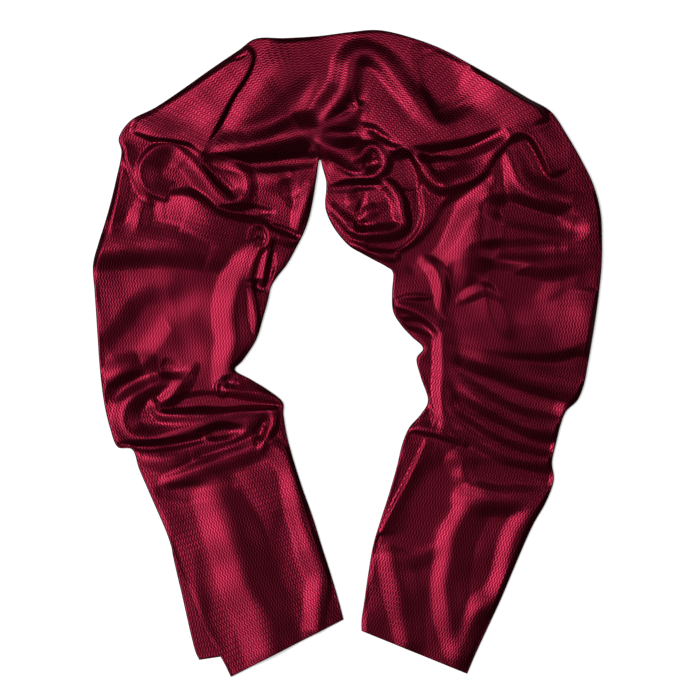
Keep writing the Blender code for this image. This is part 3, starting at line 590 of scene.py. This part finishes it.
def section_rows(shares):
    """Section values at fractional row numbers. The plan is read from a smooth curve through
    the table, and the heights from straight lines between its rows."""
    table = np.array(SECTIONS, float)
    ends = with_ends(table)
    row = np.clip(np.floor(shares).astype(int), 0, len(table) - 2)
    t = (shares - row)[:, None]
    values = curve_between(*(ends[row + k] for k in range(4)), t)
    values[:, 4:] = table[row, 4:] * (1 - t) + table[row + 1, 4:] * t
    return values


EDGES = section_rows(np.linspace(0, len(SECTIONS) - 1, EDGE_READS * len(SECTIONS)))
OUTER_EDGE, INNER_EDGE = EDGES[:, :2], EDGES[:, 2:4]


def from_edges(places):
    """Distance of each place from the nearer long edge of the strip."""
    outer = [np.abs(nearest_on(OUTER_EDGE, part)[0]) for part in in_chunks(places)]
    inner = [np.abs(nearest_on(INNER_EDGE, part)[0]) for part in in_chunks(places)]
    return np.minimum(np.concatenate(outer), np.concatenate(inner))


print("points along each long edge:", len(OUTER_EDGE))

# %% Columns of one section
RETURN_COLUMNS = 3
TURN_COLUMNS = 12
TOP_COLUMNS = 170
EDGE_COUNT = RETURN_COLUMNS + TURN_COLUMNS
UPPER = slice(RETURN_COLUMNS + TURN_COLUMNS // 2, -(RETURN_COLUMNS + TURN_COLUMNS // 2))


def edge_columns(radius):
    """Inset from the edge and height, in millimetres, of the columns that turn round one edge."""
    turn = np.pi * (np.arange(TURN_COLUMNS) / (TURN_COLUMNS - 1))
    back = np.linspace(UNDER_RETURN, radius, RETURN_COLUMNS + 1)[:-1]
    inset = np.concatenate((back, radius * (1 - np.sin(turn))))
    height = np.concatenate((np.zeros(RETURN_COLUMNS), radius * (1 - np.cos(turn))))
    return inset, height


def section_columns(width, radius):
    """Insets from the outer edge, and heights above the table, of a whole section's columns."""
    inset, height = edge_columns(radius)
    top = np.linspace(inset[-1], width - inset[-1], TOP_COLUMNS + 1)[1:-1]
    insets = np.concatenate((inset, top, width - inset[::-1]))
    heights = np.concatenate((height, np.full(len(top), 2 * radius), height[::-1]))
    return insets, heights


print("columns in a section:", TOP_COLUMNS - 1 + 2 * EDGE_COUNT)

# %% [markdown]
# The top of the sheet is its edge height with the folds and ripples added. Three rules keep it
# sound. The folds fade in from the edges, so these stay round. A trough never goes below the
# thin cloth of the edge, and a pile of crests is pressed down. Last, the sheet stays clear of
# the layers that it lies on.

# %% The sheet over any run of sections
LEDGE_KEPT = 0.8
LEDGE_FALL = 0.2


def smooth_max(a, b, blend):
    return 0.5 * (a + b + np.sqrt((a - b) ** 2 + blend ** 2))


def top_surface(places, base):
    """Height of the sheet's top at each place, and how far its folds push it sideways."""
    inside = from_edges(places)
    kept = np.clip(inside / FOLD_FADE, 0, 1)
    kept = kept * kept * (3 - 2 * kept)
    added, push = all_folds(places)
    height = base + (added + ripples(places)) * kept
    lowest = LEAST_AT_EDGE + LEAST_RISE * np.clip(inside / LEAST_RISE_RUN, 0, 1)
    height = smooth_max(height, lowest, LEAST_BLEND * kept)
    height = height - (1 - PILE_KEPT) * smooth_max(height - PILE_HEIGHT, 0.0, PILE_BLEND)
    return height, push * kept[:, None]


def sheet_points(rows):
    """Grid of sheet points in board millimetres, and their insets from the outer edge."""
    values = section_rows(rows)
    lines = values[:, 2:4] - values[:, :2]
    widths = np.linalg.norm(lines, axis=1)
    radii = EDGE_LEAST_RADIUS + 0.5 * LOFT_KEPT * values[:, 4]
    columns = [section_columns(width, radius) for width, radius in zip(widths, radii)]
    insets = np.array([inset for inset, _ in columns])
    base = np.array([height for _, height in columns])
    shares = insets / widths[:, None]
    plan = values[:, None, :2] + shares[..., None] * lines[:, None, :]
    height, push = top_surface(plan[:, UPPER].reshape(-1, 2), base[:, UPPER].reshape(-1))
    base[:, UPPER] = height.reshape(len(rows), -1)
    plan[:, UPPER] += push.reshape(len(rows), -1, 2)
    ledge = values[:, 5:6] * (1 - np.clip((shares - LEDGE_KEPT) / LEDGE_FALL, 0, 1) ** 2)
    base = base + ledge + CLOTH_LIFT
    least = layer_tops(plan[:, UPPER].reshape(-1, 2)).reshape(len(rows), -1) + HIDDEN_CLEARANCE
    base[:, UPPER] = np.maximum(base[:, UPPER], least)
    return np.concatenate((plan, base[..., None]), axis=2), insets


# %% [markdown]
# ## Stretches
#
# The strip is made in five stretches, one for each part of it that shows, so that each stands
# for one solid of the frame. They are cut from one continuous surface. Each stretch is worked
# out with one more section past its ends, and its normals are taken from that longer grid, so
# light runs over the joins without a line.

# %% The stretches
Stretch = namedtuple("Stretch", "name first last step flat rests_on")
STRETCHES = [
    Stretch("left_tail", 0, 8, 1.25, (0.150, 0.240), "left_tail_under"),
    Stretch("left_arm", 8, 24, 1.25, (0.220, 0.330), "hidden_layers_left_arm"),
    Stretch("crown", 24, 40, 1.3, (0.230, 0.340), "hidden_layers_crown"),
    Stretch("right_arm", 40, 55, 1.3, (0.250, 0.350), "hidden_layers_right_arm"),
    Stretch("right_tail", 55, 64, 1.25, (0.150, 0.270), "hidden_layers_right_tail"),
]
OUTER_HALF = 0.3
STATION_READS = 40
RUN_READS = 10


def outer_half_run(rows):
    """How far along the cloth each fractional section row lies. It is measured in the outer
    half, where most of the cloth shows."""
    values = section_rows(rows)
    return gone_along((1 - OUTER_HALF) * values[:, :2] + OUTER_HALF * values[:, 2:4])


def station_rows(stretch):
    """Fractional section rows of a stretch's stations, evenly spaced along its outer half."""
    step = stretch.step * 1.0
    reads = STATION_READS * (stretch.last - stretch.first) + 1
    rows = np.linspace(stretch.first, stretch.last, reads)
    gone = outer_half_run(rows)
    count = int(round(gone[-1] / step))
    return np.interp(np.linspace(0, gone[-1], count + 1), gone, rows)


RUN_ROWS = np.linspace(0, len(SECTIONS) - 1, RUN_READS * (len(SECTIONS) - 1) + 1)
RUN_GONE = outer_half_run(RUN_ROWS)
print("length along the outer half: %.0f mm" % RUN_GONE[-1])

# %% Turned-under hems
HEM_RADIUS = 0.45
HEM_TURNS = 5
HEM_RETURNS = 4
HEM_STEP = 2
HEM_FLOOR = 0.05
HEM_SIGHT = 4


def with_hem(points, cloth):
    """A stretch's points and cloth places with its first section turned under as a hem."""
    outward = points[0, UPPER, :2].mean(axis=0) - points[HEM_SIGHT, UPPER, :2].mean(axis=0)
    outward = outward / np.linalg.norm(outward)
    rows, places = [], []
    for k in range(1, HEM_TURNS + 1):
        turn = np.pi * k / HEM_TURNS
        row = points[0].copy()
        row[:, :2] += outward * HEM_RADIUS * np.sin(turn)
        row[:, 2] = np.maximum(row[:, 2] - HEM_RADIUS * (1 - np.cos(turn)), HEM_FLOOR)
        rows.append(row)
        places.append(cloth[0] + np.array((HEM_RADIUS * turn, 0.0)))
    for k in range(1, HEM_RETURNS + 1):
        row = points[HEM_STEP * k].copy()
        row[:, 2] = np.maximum(row[:, 2] - 2 * HEM_RADIUS, HEM_FLOOR)
        rows.append(row)
        places.append(cloth[0] + np.array((HEM_RADIUS * np.pi + HEM_STEP * k, 0.0)))
    return np.concatenate((rows[::-1], points)), np.concatenate((places[::-1], cloth))


# %% A stretch's points and normals
def stretch_grid(stretch):
    """Points, normals and cloth places of a stretch, hems included."""
    rows = station_rows(stretch)
    joined_before, joined_after = stretch.first > 0, stretch.last < len(SECTIONS) - 1
    longer = np.concatenate(([2 * rows[0] - rows[1]] if joined_before else [], rows,
                             [2 * rows[-1] - rows[-2]] if joined_after else []))
    points, insets = sheet_points(longer)
    gone = np.interp(longer, RUN_ROWS, RUN_GONE)
    cloth = np.stack((np.repeat(gone[:, None], insets.shape[1], axis=1), insets), axis=2)
    if not joined_before:
        points, cloth = with_hem(points, cloth)
    if not joined_after:
        points, cloth = (grid[::-1] for grid in with_hem(points[::-1], cloth[::-1]))
    normals = np.cross(np.gradient(points, axis=1), np.gradient(points, axis=0))
    normals /= np.maximum(np.linalg.norm(normals, axis=2, keepdims=True), 1e-9)
    keep = slice(1 if joined_before else 0, -1 if joined_after else None)
    return points[keep], normals[keep], cloth[keep]


# %% Making each stretch
def add_object(name, data):
    thing = bpy.data.objects.new(name, data)
    bpy.context.scene.collection.objects.link(thing)
    return thing


def new_grid(name, x_segments, y_segments, size):
    """A flat square grid, made by the grid operator."""
    form = bmesh.new()
    bmesh.ops.create_grid(form, x_segments=x_segments, y_segments=y_segments, size=size)
    mesh = bpy.data.meshes.new(name)
    form.to_mesh(mesh)
    form.free()
    return mesh


def cloth_mesh(name, points, cloth):
    """A grid with its points moved into place, its weave mapped and its faces turned up, and
    the row and column of each of its points."""
    rows, columns = points.shape[:2]
    mesh = new_grid(name, columns - 1, rows - 1, 1.0)
    flat = np.empty(len(mesh.vertices) * 3)
    mesh.vertices.foreach_get("co", flat)
    flat = flat.reshape(-1, 3)
    column = np.rint((flat[:, 0] + 1) / 2 * (columns - 1)).astype(int)
    row = np.rint((flat[:, 1] + 1) / 2 * (rows - 1)).astype(int)
    mesh.vertices.foreach_set("co", to_frame(points[row, column]).reshape(-1))
    mesh.update()
    corners = np.empty(len(mesh.loops), np.int32)
    mesh.loops.foreach_get("vertex_index", corners)
    layer = mesh.uv_layers.new(name="cloth")
    layer.data.foreach_set("uv", (cloth[row, column] * MM)[corners].reshape(-1))
    mesh.shade_smooth()
    facing = np.empty(len(mesh.polygons) * 3)
    mesh.polygons.foreach_get("normal", facing)
    if facing.reshape(-1, 3)[:, 2].mean() <= 0:
        mesh.flip_normals()
    return mesh, row, column


def make_stretch(stretch):
    """One stretch of cloth, with the normals of its longer grid."""
    name = stretch.name + "_cloth"
    points, normals, cloth = stretch_grid(stretch)
    mesh, row, column = cloth_mesh(name, points, cloth)
    normals = normals[row, column] * np.array((1.0, -1.0, 1.0))
    if normals[:, 2].mean() < 0:
        normals = -normals
    mesh.normals_split_custom_set_from_vertices(normals.tolist())
    print(stretch.name, "sections and columns:", points.shape[:2],
          "highest point: %.1f mm" % points[..., 2].max())
    return add_object(name, mesh)


CLOTH = {stretch.name: make_stretch(stretch) for stretch in STRETCHES}

# %% [markdown]
# ## The layer that peeks out
#
# The left tail is folded a little askew, so the lower half shows as a narrow strip past the
# upper one. It is a flat sheet on the table, wavy by less than its own thickness, with a
# Solidify modifier for that thickness.

# %% The under layer
UNDER_TOP = 1.0
UNDER_THICKNESS = 0.7
UNDER_COLUMNS = 36
UNDER_STATIONS = 120
UNDER_STEP = 2.0
UNDER_LENGTH = 190.0
UNDER_WIDTH = 66.0
UNDER_WAVE = 0.25
UNDER_WAVE_RUN = 14.0
UNDER_WAVE_FADE = 3.0
UNDER_OUTER = [(199, 660.5), (195, 652), (191, 637), (185.5, 613), (181, 593), (176, 572),
               (171.5, 550), (170, 530), (162, 505), (150, 478)]
UNDER_INNER = [(262, 651), (259, 642), (256, 628), (250, 604), (246, 585), (242, 565),
               (238, 543), (234, 520), (228, 498), (220, 470)]


def even_points(path, count):
    """A number of points evenly spaced along a smooth path."""
    points = smooth_path(path, UNDER_STEP)
    gone = gone_along(points)
    wanted = np.linspace(0, gone[-1], count)
    return np.column_stack([np.interp(wanted, gone, points[:, k]) for k in range(2)])


def make_under_layer():
    outer = even_points(UNDER_OUTER, UNDER_STATIONS)
    inner = even_points(UNDER_INNER, UNDER_STATIONS)
    share = np.linspace(0, 1, UNDER_COLUMNS)[None, :, None]
    plan = outer[:, None] * (1 - share) + inner[:, None] * share
    wave = UNDER_WAVE * np.sin(plan[..., 1] / UNDER_WAVE_RUN) * np.exp(-share[..., 0] * UNDER_WAVE_FADE)
    points = np.concatenate((plan, (UNDER_TOP + wave)[..., None]), axis=2)
    gone = np.linspace(0, UNDER_LENGTH, UNDER_STATIONS)[:, None].repeat(UNDER_COLUMNS, axis=1)
    across = (share[..., 0] * UNDER_WIDTH).repeat(UNDER_STATIONS, axis=0)
    name = "left_tail_under_cloth"
    thing = add_object(name, cloth_mesh(name, points, np.stack((gone, across), axis=2))[0])
    body = thing.modifiers.new("thickness", "SOLIDIFY")
    body.thickness = UNDER_THICKNESS * MM
    body.offset = -1.0
    return thing


CLOTH["left_tail_under"] = make_under_layer()
print("pieces of cloth:", len(CLOTH))

# %% [markdown]
# ## The weave
#
# The satin is a jacquard: fine zigzag lines run along the strip, where threads of one set lie
# on top of the other. The lines stand a little proud and catch more light than the ground
# between them. The group below draws them from the cloth's own coordinates, which are metres
# along the strip and metres across it, so the pattern follows every fold. A zigzag is a stripe
# whose place is pushed from side to side by a triangle wave.

# %% Small helpers for node trees
def value_node(tree, operation, first, second, third=None):
    """A Math node with its inputs linked or set."""
    node = tree.nodes.new("ShaderNodeMath")
    node.operation = operation
    for socket, given in zip(node.inputs, (first, second, third)):
        if given is None:
            continue
        if isinstance(given, (int, float)):
            socket.default_value = given
        else:
            tree.links.new(given, socket)
    return node.outputs[0]


def noise_node(tree, place, scale, detail):
    """A Noise Texture read at the given place."""
    node = tree.nodes.new("ShaderNodeTexNoise")
    node.inputs["Scale"].default_value = scale
    node.inputs["Detail"].default_value = detail
    tree.links.new(place, node.inputs["Vector"])
    return node.outputs[0]


def colour_node(tree, share, first, second):
    """A Mix node from one colour to another."""
    node = tree.nodes.new("ShaderNodeMix")
    node.data_type = "RGBA"
    node.inputs["A"].default_value = first
    node.inputs["B"].default_value = second
    tree.links.new(share, node.inputs["Factor"])
    return node.outputs["Result"]


def new_material(name):
    """A material with its node tree and its shader."""
    material = bpy.data.materials.new(name)
    material.use_nodes = True
    return material, material.node_tree, material.node_tree.nodes["Principled BSDF"]


# %% The zigzag group
ZIGZAG_PERIOD = 0.0054
ZIGZAG_SPACING = 0.0028
ZIGZAG_SWING = 0.0016
WANDER = 0.0016
WANDER_SCALE = 90.0
WANDER_DETAIL = 2.0
THREAD_FROM = 0.48
THREAD_TO = 0.92


def make_zigzag():
    tree = bpy.data.node_groups.new("zigzag_weave", "ShaderNodeTree")
    for name, start in (("Period", ZIGZAG_PERIOD), ("Spacing", ZIGZAG_SPACING), ("Swing", ZIGZAG_SWING)):
        socket = tree.interface.new_socket(name, in_out="INPUT", socket_type="NodeSocketFloat")
        socket.default_value = start
    tree.interface.new_socket("Cloth", in_out="INPUT", socket_type="NodeSocketVector")
    tree.interface.new_socket("Thread", in_out="OUTPUT", socket_type="NodeSocketFloat")
    tree.interface.new_socket("Height", in_out="OUTPUT", socket_type="NodeSocketFloat")
    given = tree.nodes.new("NodeGroupInput")
    wanted = tree.nodes.new("NodeGroupOutput")
    split = tree.nodes.new("ShaderNodeSeparateXYZ")
    tree.links.new(given.outputs["Cloth"], split.inputs[0])
    # The threads wander a little, so that no line is ruled
    noise = noise_node(tree, given.outputs["Cloth"], WANDER_SCALE, WANDER_DETAIL)
    wander = value_node(tree, "MULTIPLY_ADD", noise, WANDER, -WANDER / 2)
    # A triangle wave along the strip pushes the place across it
    turns = value_node(tree, "DIVIDE", split.outputs["X"], given.outputs["Period"])
    swing = value_node(tree, "PINGPONG", turns, 0.5)
    swing = value_node(tree, "MULTIPLY_ADD", swing, 2.0, -0.5)
    swing = value_node(tree, "MULTIPLY", swing, given.outputs["Swing"])
    place = value_node(tree, "ADD", split.outputs["Y"], swing)
    place = value_node(tree, "ADD", place, wander)
    # Stripes across the strip, and the thread along the top of each
    stripe = value_node(tree, "DIVIDE", place, given.outputs["Spacing"])
    stripe = value_node(tree, "PINGPONG", stripe, 0.5)
    stripe = value_node(tree, "MULTIPLY", stripe, 2.0)
    soft = tree.nodes.new("ShaderNodeMapRange")
    soft.interpolation_type = "SMOOTHSTEP"
    soft.inputs["From Min"].default_value = THREAD_FROM
    soft.inputs["From Max"].default_value = THREAD_TO
    tree.links.new(stripe, soft.inputs["Value"])
    tree.links.new(soft.outputs[0], wanted.inputs["Thread"])
    tree.links.new(stripe, wanted.inputs["Height"])
    return tree


ZIGZAG = make_zigzag()
print("weave group sockets:", [item.name for item in ZIGZAG.interface.items_tree])

# %% [markdown]
# ## The satin
#
# Satin shines because long threads lie side by side. Its highlights take the cloth's own
# colour, so the surface answers like tinted metal, and the light stretches out across the
# threads, which is what the anisotropy is for. The ground is a deep wine. The raised zigzag
# threads are a lighter rose and a little less metallic, so they still show in the dark folds.

# %% Satin material
GROUND = (0.105, 0.0010, 0.0070, 1.0)
THREAD = (0.21, 0.0180, 0.050, 1.0)
GROUND_METAL = 1.0
THREAD_METAL = 0.85
SATIN_ROUGHNESS = 0.36
SATIN_STRETCH = 0.5
SHEEN = 0.02
SHEEN_ROUGHNESS = 0.4
SHEEN_TINT = (0.9, 0.3, 0.45, 1.0)
WEAVE_BUMP = 0.25
WEAVE_DEPTH = 0.00035


def make_satin():
    material, tree, shader = new_material("burgundy_satin")
    cloth = tree.nodes.new("ShaderNodeUVMap")
    cloth.uv_map = "cloth"
    weave = tree.nodes.new("ShaderNodeGroup")
    weave.node_tree = ZIGZAG
    tree.links.new(cloth.outputs["UV"], weave.inputs["Cloth"])
    colour = colour_node(tree, weave.outputs["Thread"], GROUND, THREAD)
    tree.links.new(colour, shader.inputs["Base Color"])
    metal = value_node(tree, "MULTIPLY_ADD", weave.outputs["Thread"],
                       THREAD_METAL - GROUND_METAL, GROUND_METAL)
    tree.links.new(metal, shader.inputs["Metallic"])
    bump = tree.nodes.new("ShaderNodeBump")
    bump.inputs["Strength"].default_value = WEAVE_BUMP
    bump.inputs["Distance"].default_value = WEAVE_DEPTH
    tree.links.new(weave.outputs["Height"], bump.inputs["Height"])
    tree.links.new(bump.outputs["Normal"], shader.inputs["Normal"])
    tangent = tree.nodes.new("ShaderNodeTangent")
    tangent.direction_type = "UV_MAP"
    tangent.uv_map = "cloth"
    tree.links.new(tangent.outputs["Tangent"], shader.inputs["Tangent"])
    shader.inputs["Roughness"].default_value = SATIN_ROUGHNESS
    shader.inputs["Anisotropic"].default_value = SATIN_STRETCH
    shader.inputs["Sheen Weight"].default_value = SHEEN
    shader.inputs["Sheen Roughness"].default_value = SHEEN_ROUGHNESS
    shader.inputs["Sheen Tint"].default_value = SHEEN_TINT
    return material


SATIN = make_satin()
print("satin nodes:", len(SATIN.node_tree.nodes))

# %% [markdown]
# The hidden layers show only from below and at the open ends of the tails. They carry the same
# satin in shade. Their solids have no cloth coordinates, so the tint comes from soft cloudy
# noise on the object's own coordinates.

# %% Hidden satin
SHADED = (0.12, 0.003, 0.012, 1.0)
SHADED_METAL = 0.4
SHADED_ROUGHNESS = 0.5
CLOUD_SCALE = 160.0
CLOUD_DETAIL = 3.0


def make_hidden_satin():
    material, tree, shader = new_material("hidden_satin")
    place = tree.nodes.new("ShaderNodeTexCoord")
    cloud = noise_node(tree, place.outputs["Object"], CLOUD_SCALE, CLOUD_DETAIL)
    tree.links.new(colour_node(tree, cloud, GROUND, SHADED), shader.inputs["Base Color"])
    shader.inputs["Metallic"].default_value = SHADED_METAL
    shader.inputs["Roughness"].default_value = SHADED_ROUGHNESS
    return material


HIDDEN_SATIN = make_hidden_satin()
HIDDEN = [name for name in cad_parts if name.startswith("hidden_layers")]
for name in HIDDEN:
    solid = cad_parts[name]
    solid.data.materials.clear()
    solid.data.materials.append(HIDDEN_SATIN)
print("hidden layers finished:", len(HIDDEN))

# %% [markdown]
# ## Putting each piece in place of its solid
#
# Every stretch lies on its hidden layers. Here it gets the satin, rides on the one rigid body
# and takes the place of its solid, which is hidden. The under layer is put in place the same way.
# The flat size in each stretch's row is what was cut for the part that shows, with the edges that turn
# under.

# %% Satin, body and hidden solids
for stretch in STRETCHES:
    piece = CLOTH[stretch.name]
    piece.data.materials.append(SATIN)
    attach(piece, "root")
    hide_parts(stretch.name)

under = CLOTH["left_tail_under"]
under.data.materials.append(SATIN)
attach(under, "root")
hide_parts("left_tail_under")
print("sheets declared:", len(CLOTH))

# %% [markdown]
# ## Table, light and camera
#
# The photo is a plain cut-out seen from straight above, so the table is a bare pale plane. It
# glows a little where the camera sees it, and is grey to the cloth, so the satin doesn't mirror
# a white floor.
#
# The light comes from the left. A big soft lamp stands high and far to the left, so slopes
# that face it gently light up while flat cloth stays in between and steep slopes fall dark. A
# lower lamp on the same side brightens the left edges, and a weak one on the right keeps the
# far side of the folds from going black. All of them stand far off, so that both arms of the
# scarf get the same light.
#
# The camera looks straight down through a long lens from almost four metres, so the scarf is
# seen as flat as in the photo.

# %% Table
TABLE_SIDE = 8.0
TABLE_GLOW = 0.45
TABLE_ROUGHNESS = 0.9
TABLE_SEEN = (0.92, 0.92, 0.92, 1.0)
TABLE_UNSEEN = (0.12, 0.12, 0.12, 1.0)
WHITE = (1.0, 1.0, 1.0, 1.0)


def make_table():
    mesh = new_grid("table", 1, 1, TABLE_SIDE / 2)
    material, tree, shader = new_material("pale_table")
    seen = tree.nodes.new("ShaderNodeLightPath").outputs["Is Camera Ray"]
    colour = colour_node(tree, seen, TABLE_UNSEEN, TABLE_SEEN)
    tree.links.new(colour, shader.inputs["Base Color"])
    shader.inputs["Roughness"].default_value = TABLE_ROUGHNESS
    glow = value_node(tree, "MULTIPLY", seen, TABLE_GLOW)
    tree.links.new(glow, shader.inputs["Emission Strength"])
    shader.inputs["Emission Color"].default_value = WHITE
    mesh.materials.append(material)
    return add_object("table", mesh)


make_table()
print("table side: %.1f m" % TABLE_SIDE)

# %% Lights
Lamp = namedtuple("Lamp", "name x y z side_x side_y watts")
LAMPS = [
    Lamp("overhead_softbox", -3.3, 0.5, 7.4, 3.2, 3.2, 365),
    Lamp("left_softbox", -4.8, 0.3, 4.3, 1.8, 2.7, 110),
    Lamp("right_softbox", 2.4, 1.0, 4.0, 1.6, 1.6, 24),
]
WORLD_LIGHT = 0.02


def make_lamp(lamp):
    """An area lamp that points at the middle of the scarf."""
    light = bpy.data.lights.new(lamp.name, "AREA")
    light.shape = "RECTANGLE"
    light.size = lamp.side_x
    light.size_y = lamp.side_y
    light.energy = lamp.watts
    thing = add_object(lamp.name, light)
    thing.location = (lamp.x, lamp.y, lamp.z)
    thing.rotation_euler = (-Vector(thing.location)).to_track_quat("-Z", "Y").to_euler()


for lamp in LAMPS:
    make_lamp(lamp)

world = bpy.data.worlds.new("studio")
world.use_nodes = True
world.node_tree.nodes["Background"].inputs["Color"].default_value = WHITE
world.node_tree.nodes["Background"].inputs["Strength"].default_value = WORLD_LIGHT
bpy.context.scene.world = world
bpy.context.scene.view_settings.view_transform = "Standard"
print("lamps:", [lamp.name for lamp in LAMPS])

# %% Camera
CAMERA_LENS = 200.0
SENSOR = 36.0
FOLD_LEVEL = 8.0


def make_camera():
    """A camera straight above, far enough away that the board fills its view."""
    data = bpy.data.cameras.new("overhead")
    data.lens = CAMERA_LENS
    data.sensor_width = SENSOR
    distance = BOARD_SIDE * MM * CAMERA_LENS / SENSOR
    thing = add_object("overhead", data)
    middle = to_frame(np.array((BOARD_SIDE / 2, BOARD_SIDE / 2, FOLD_LEVEL)))
    thing.location = (middle[0], middle[1], middle[2] + distance)
    bpy.context.scene.camera = thing
    return distance


print("camera height over the folds: %.2f m" % make_camera())
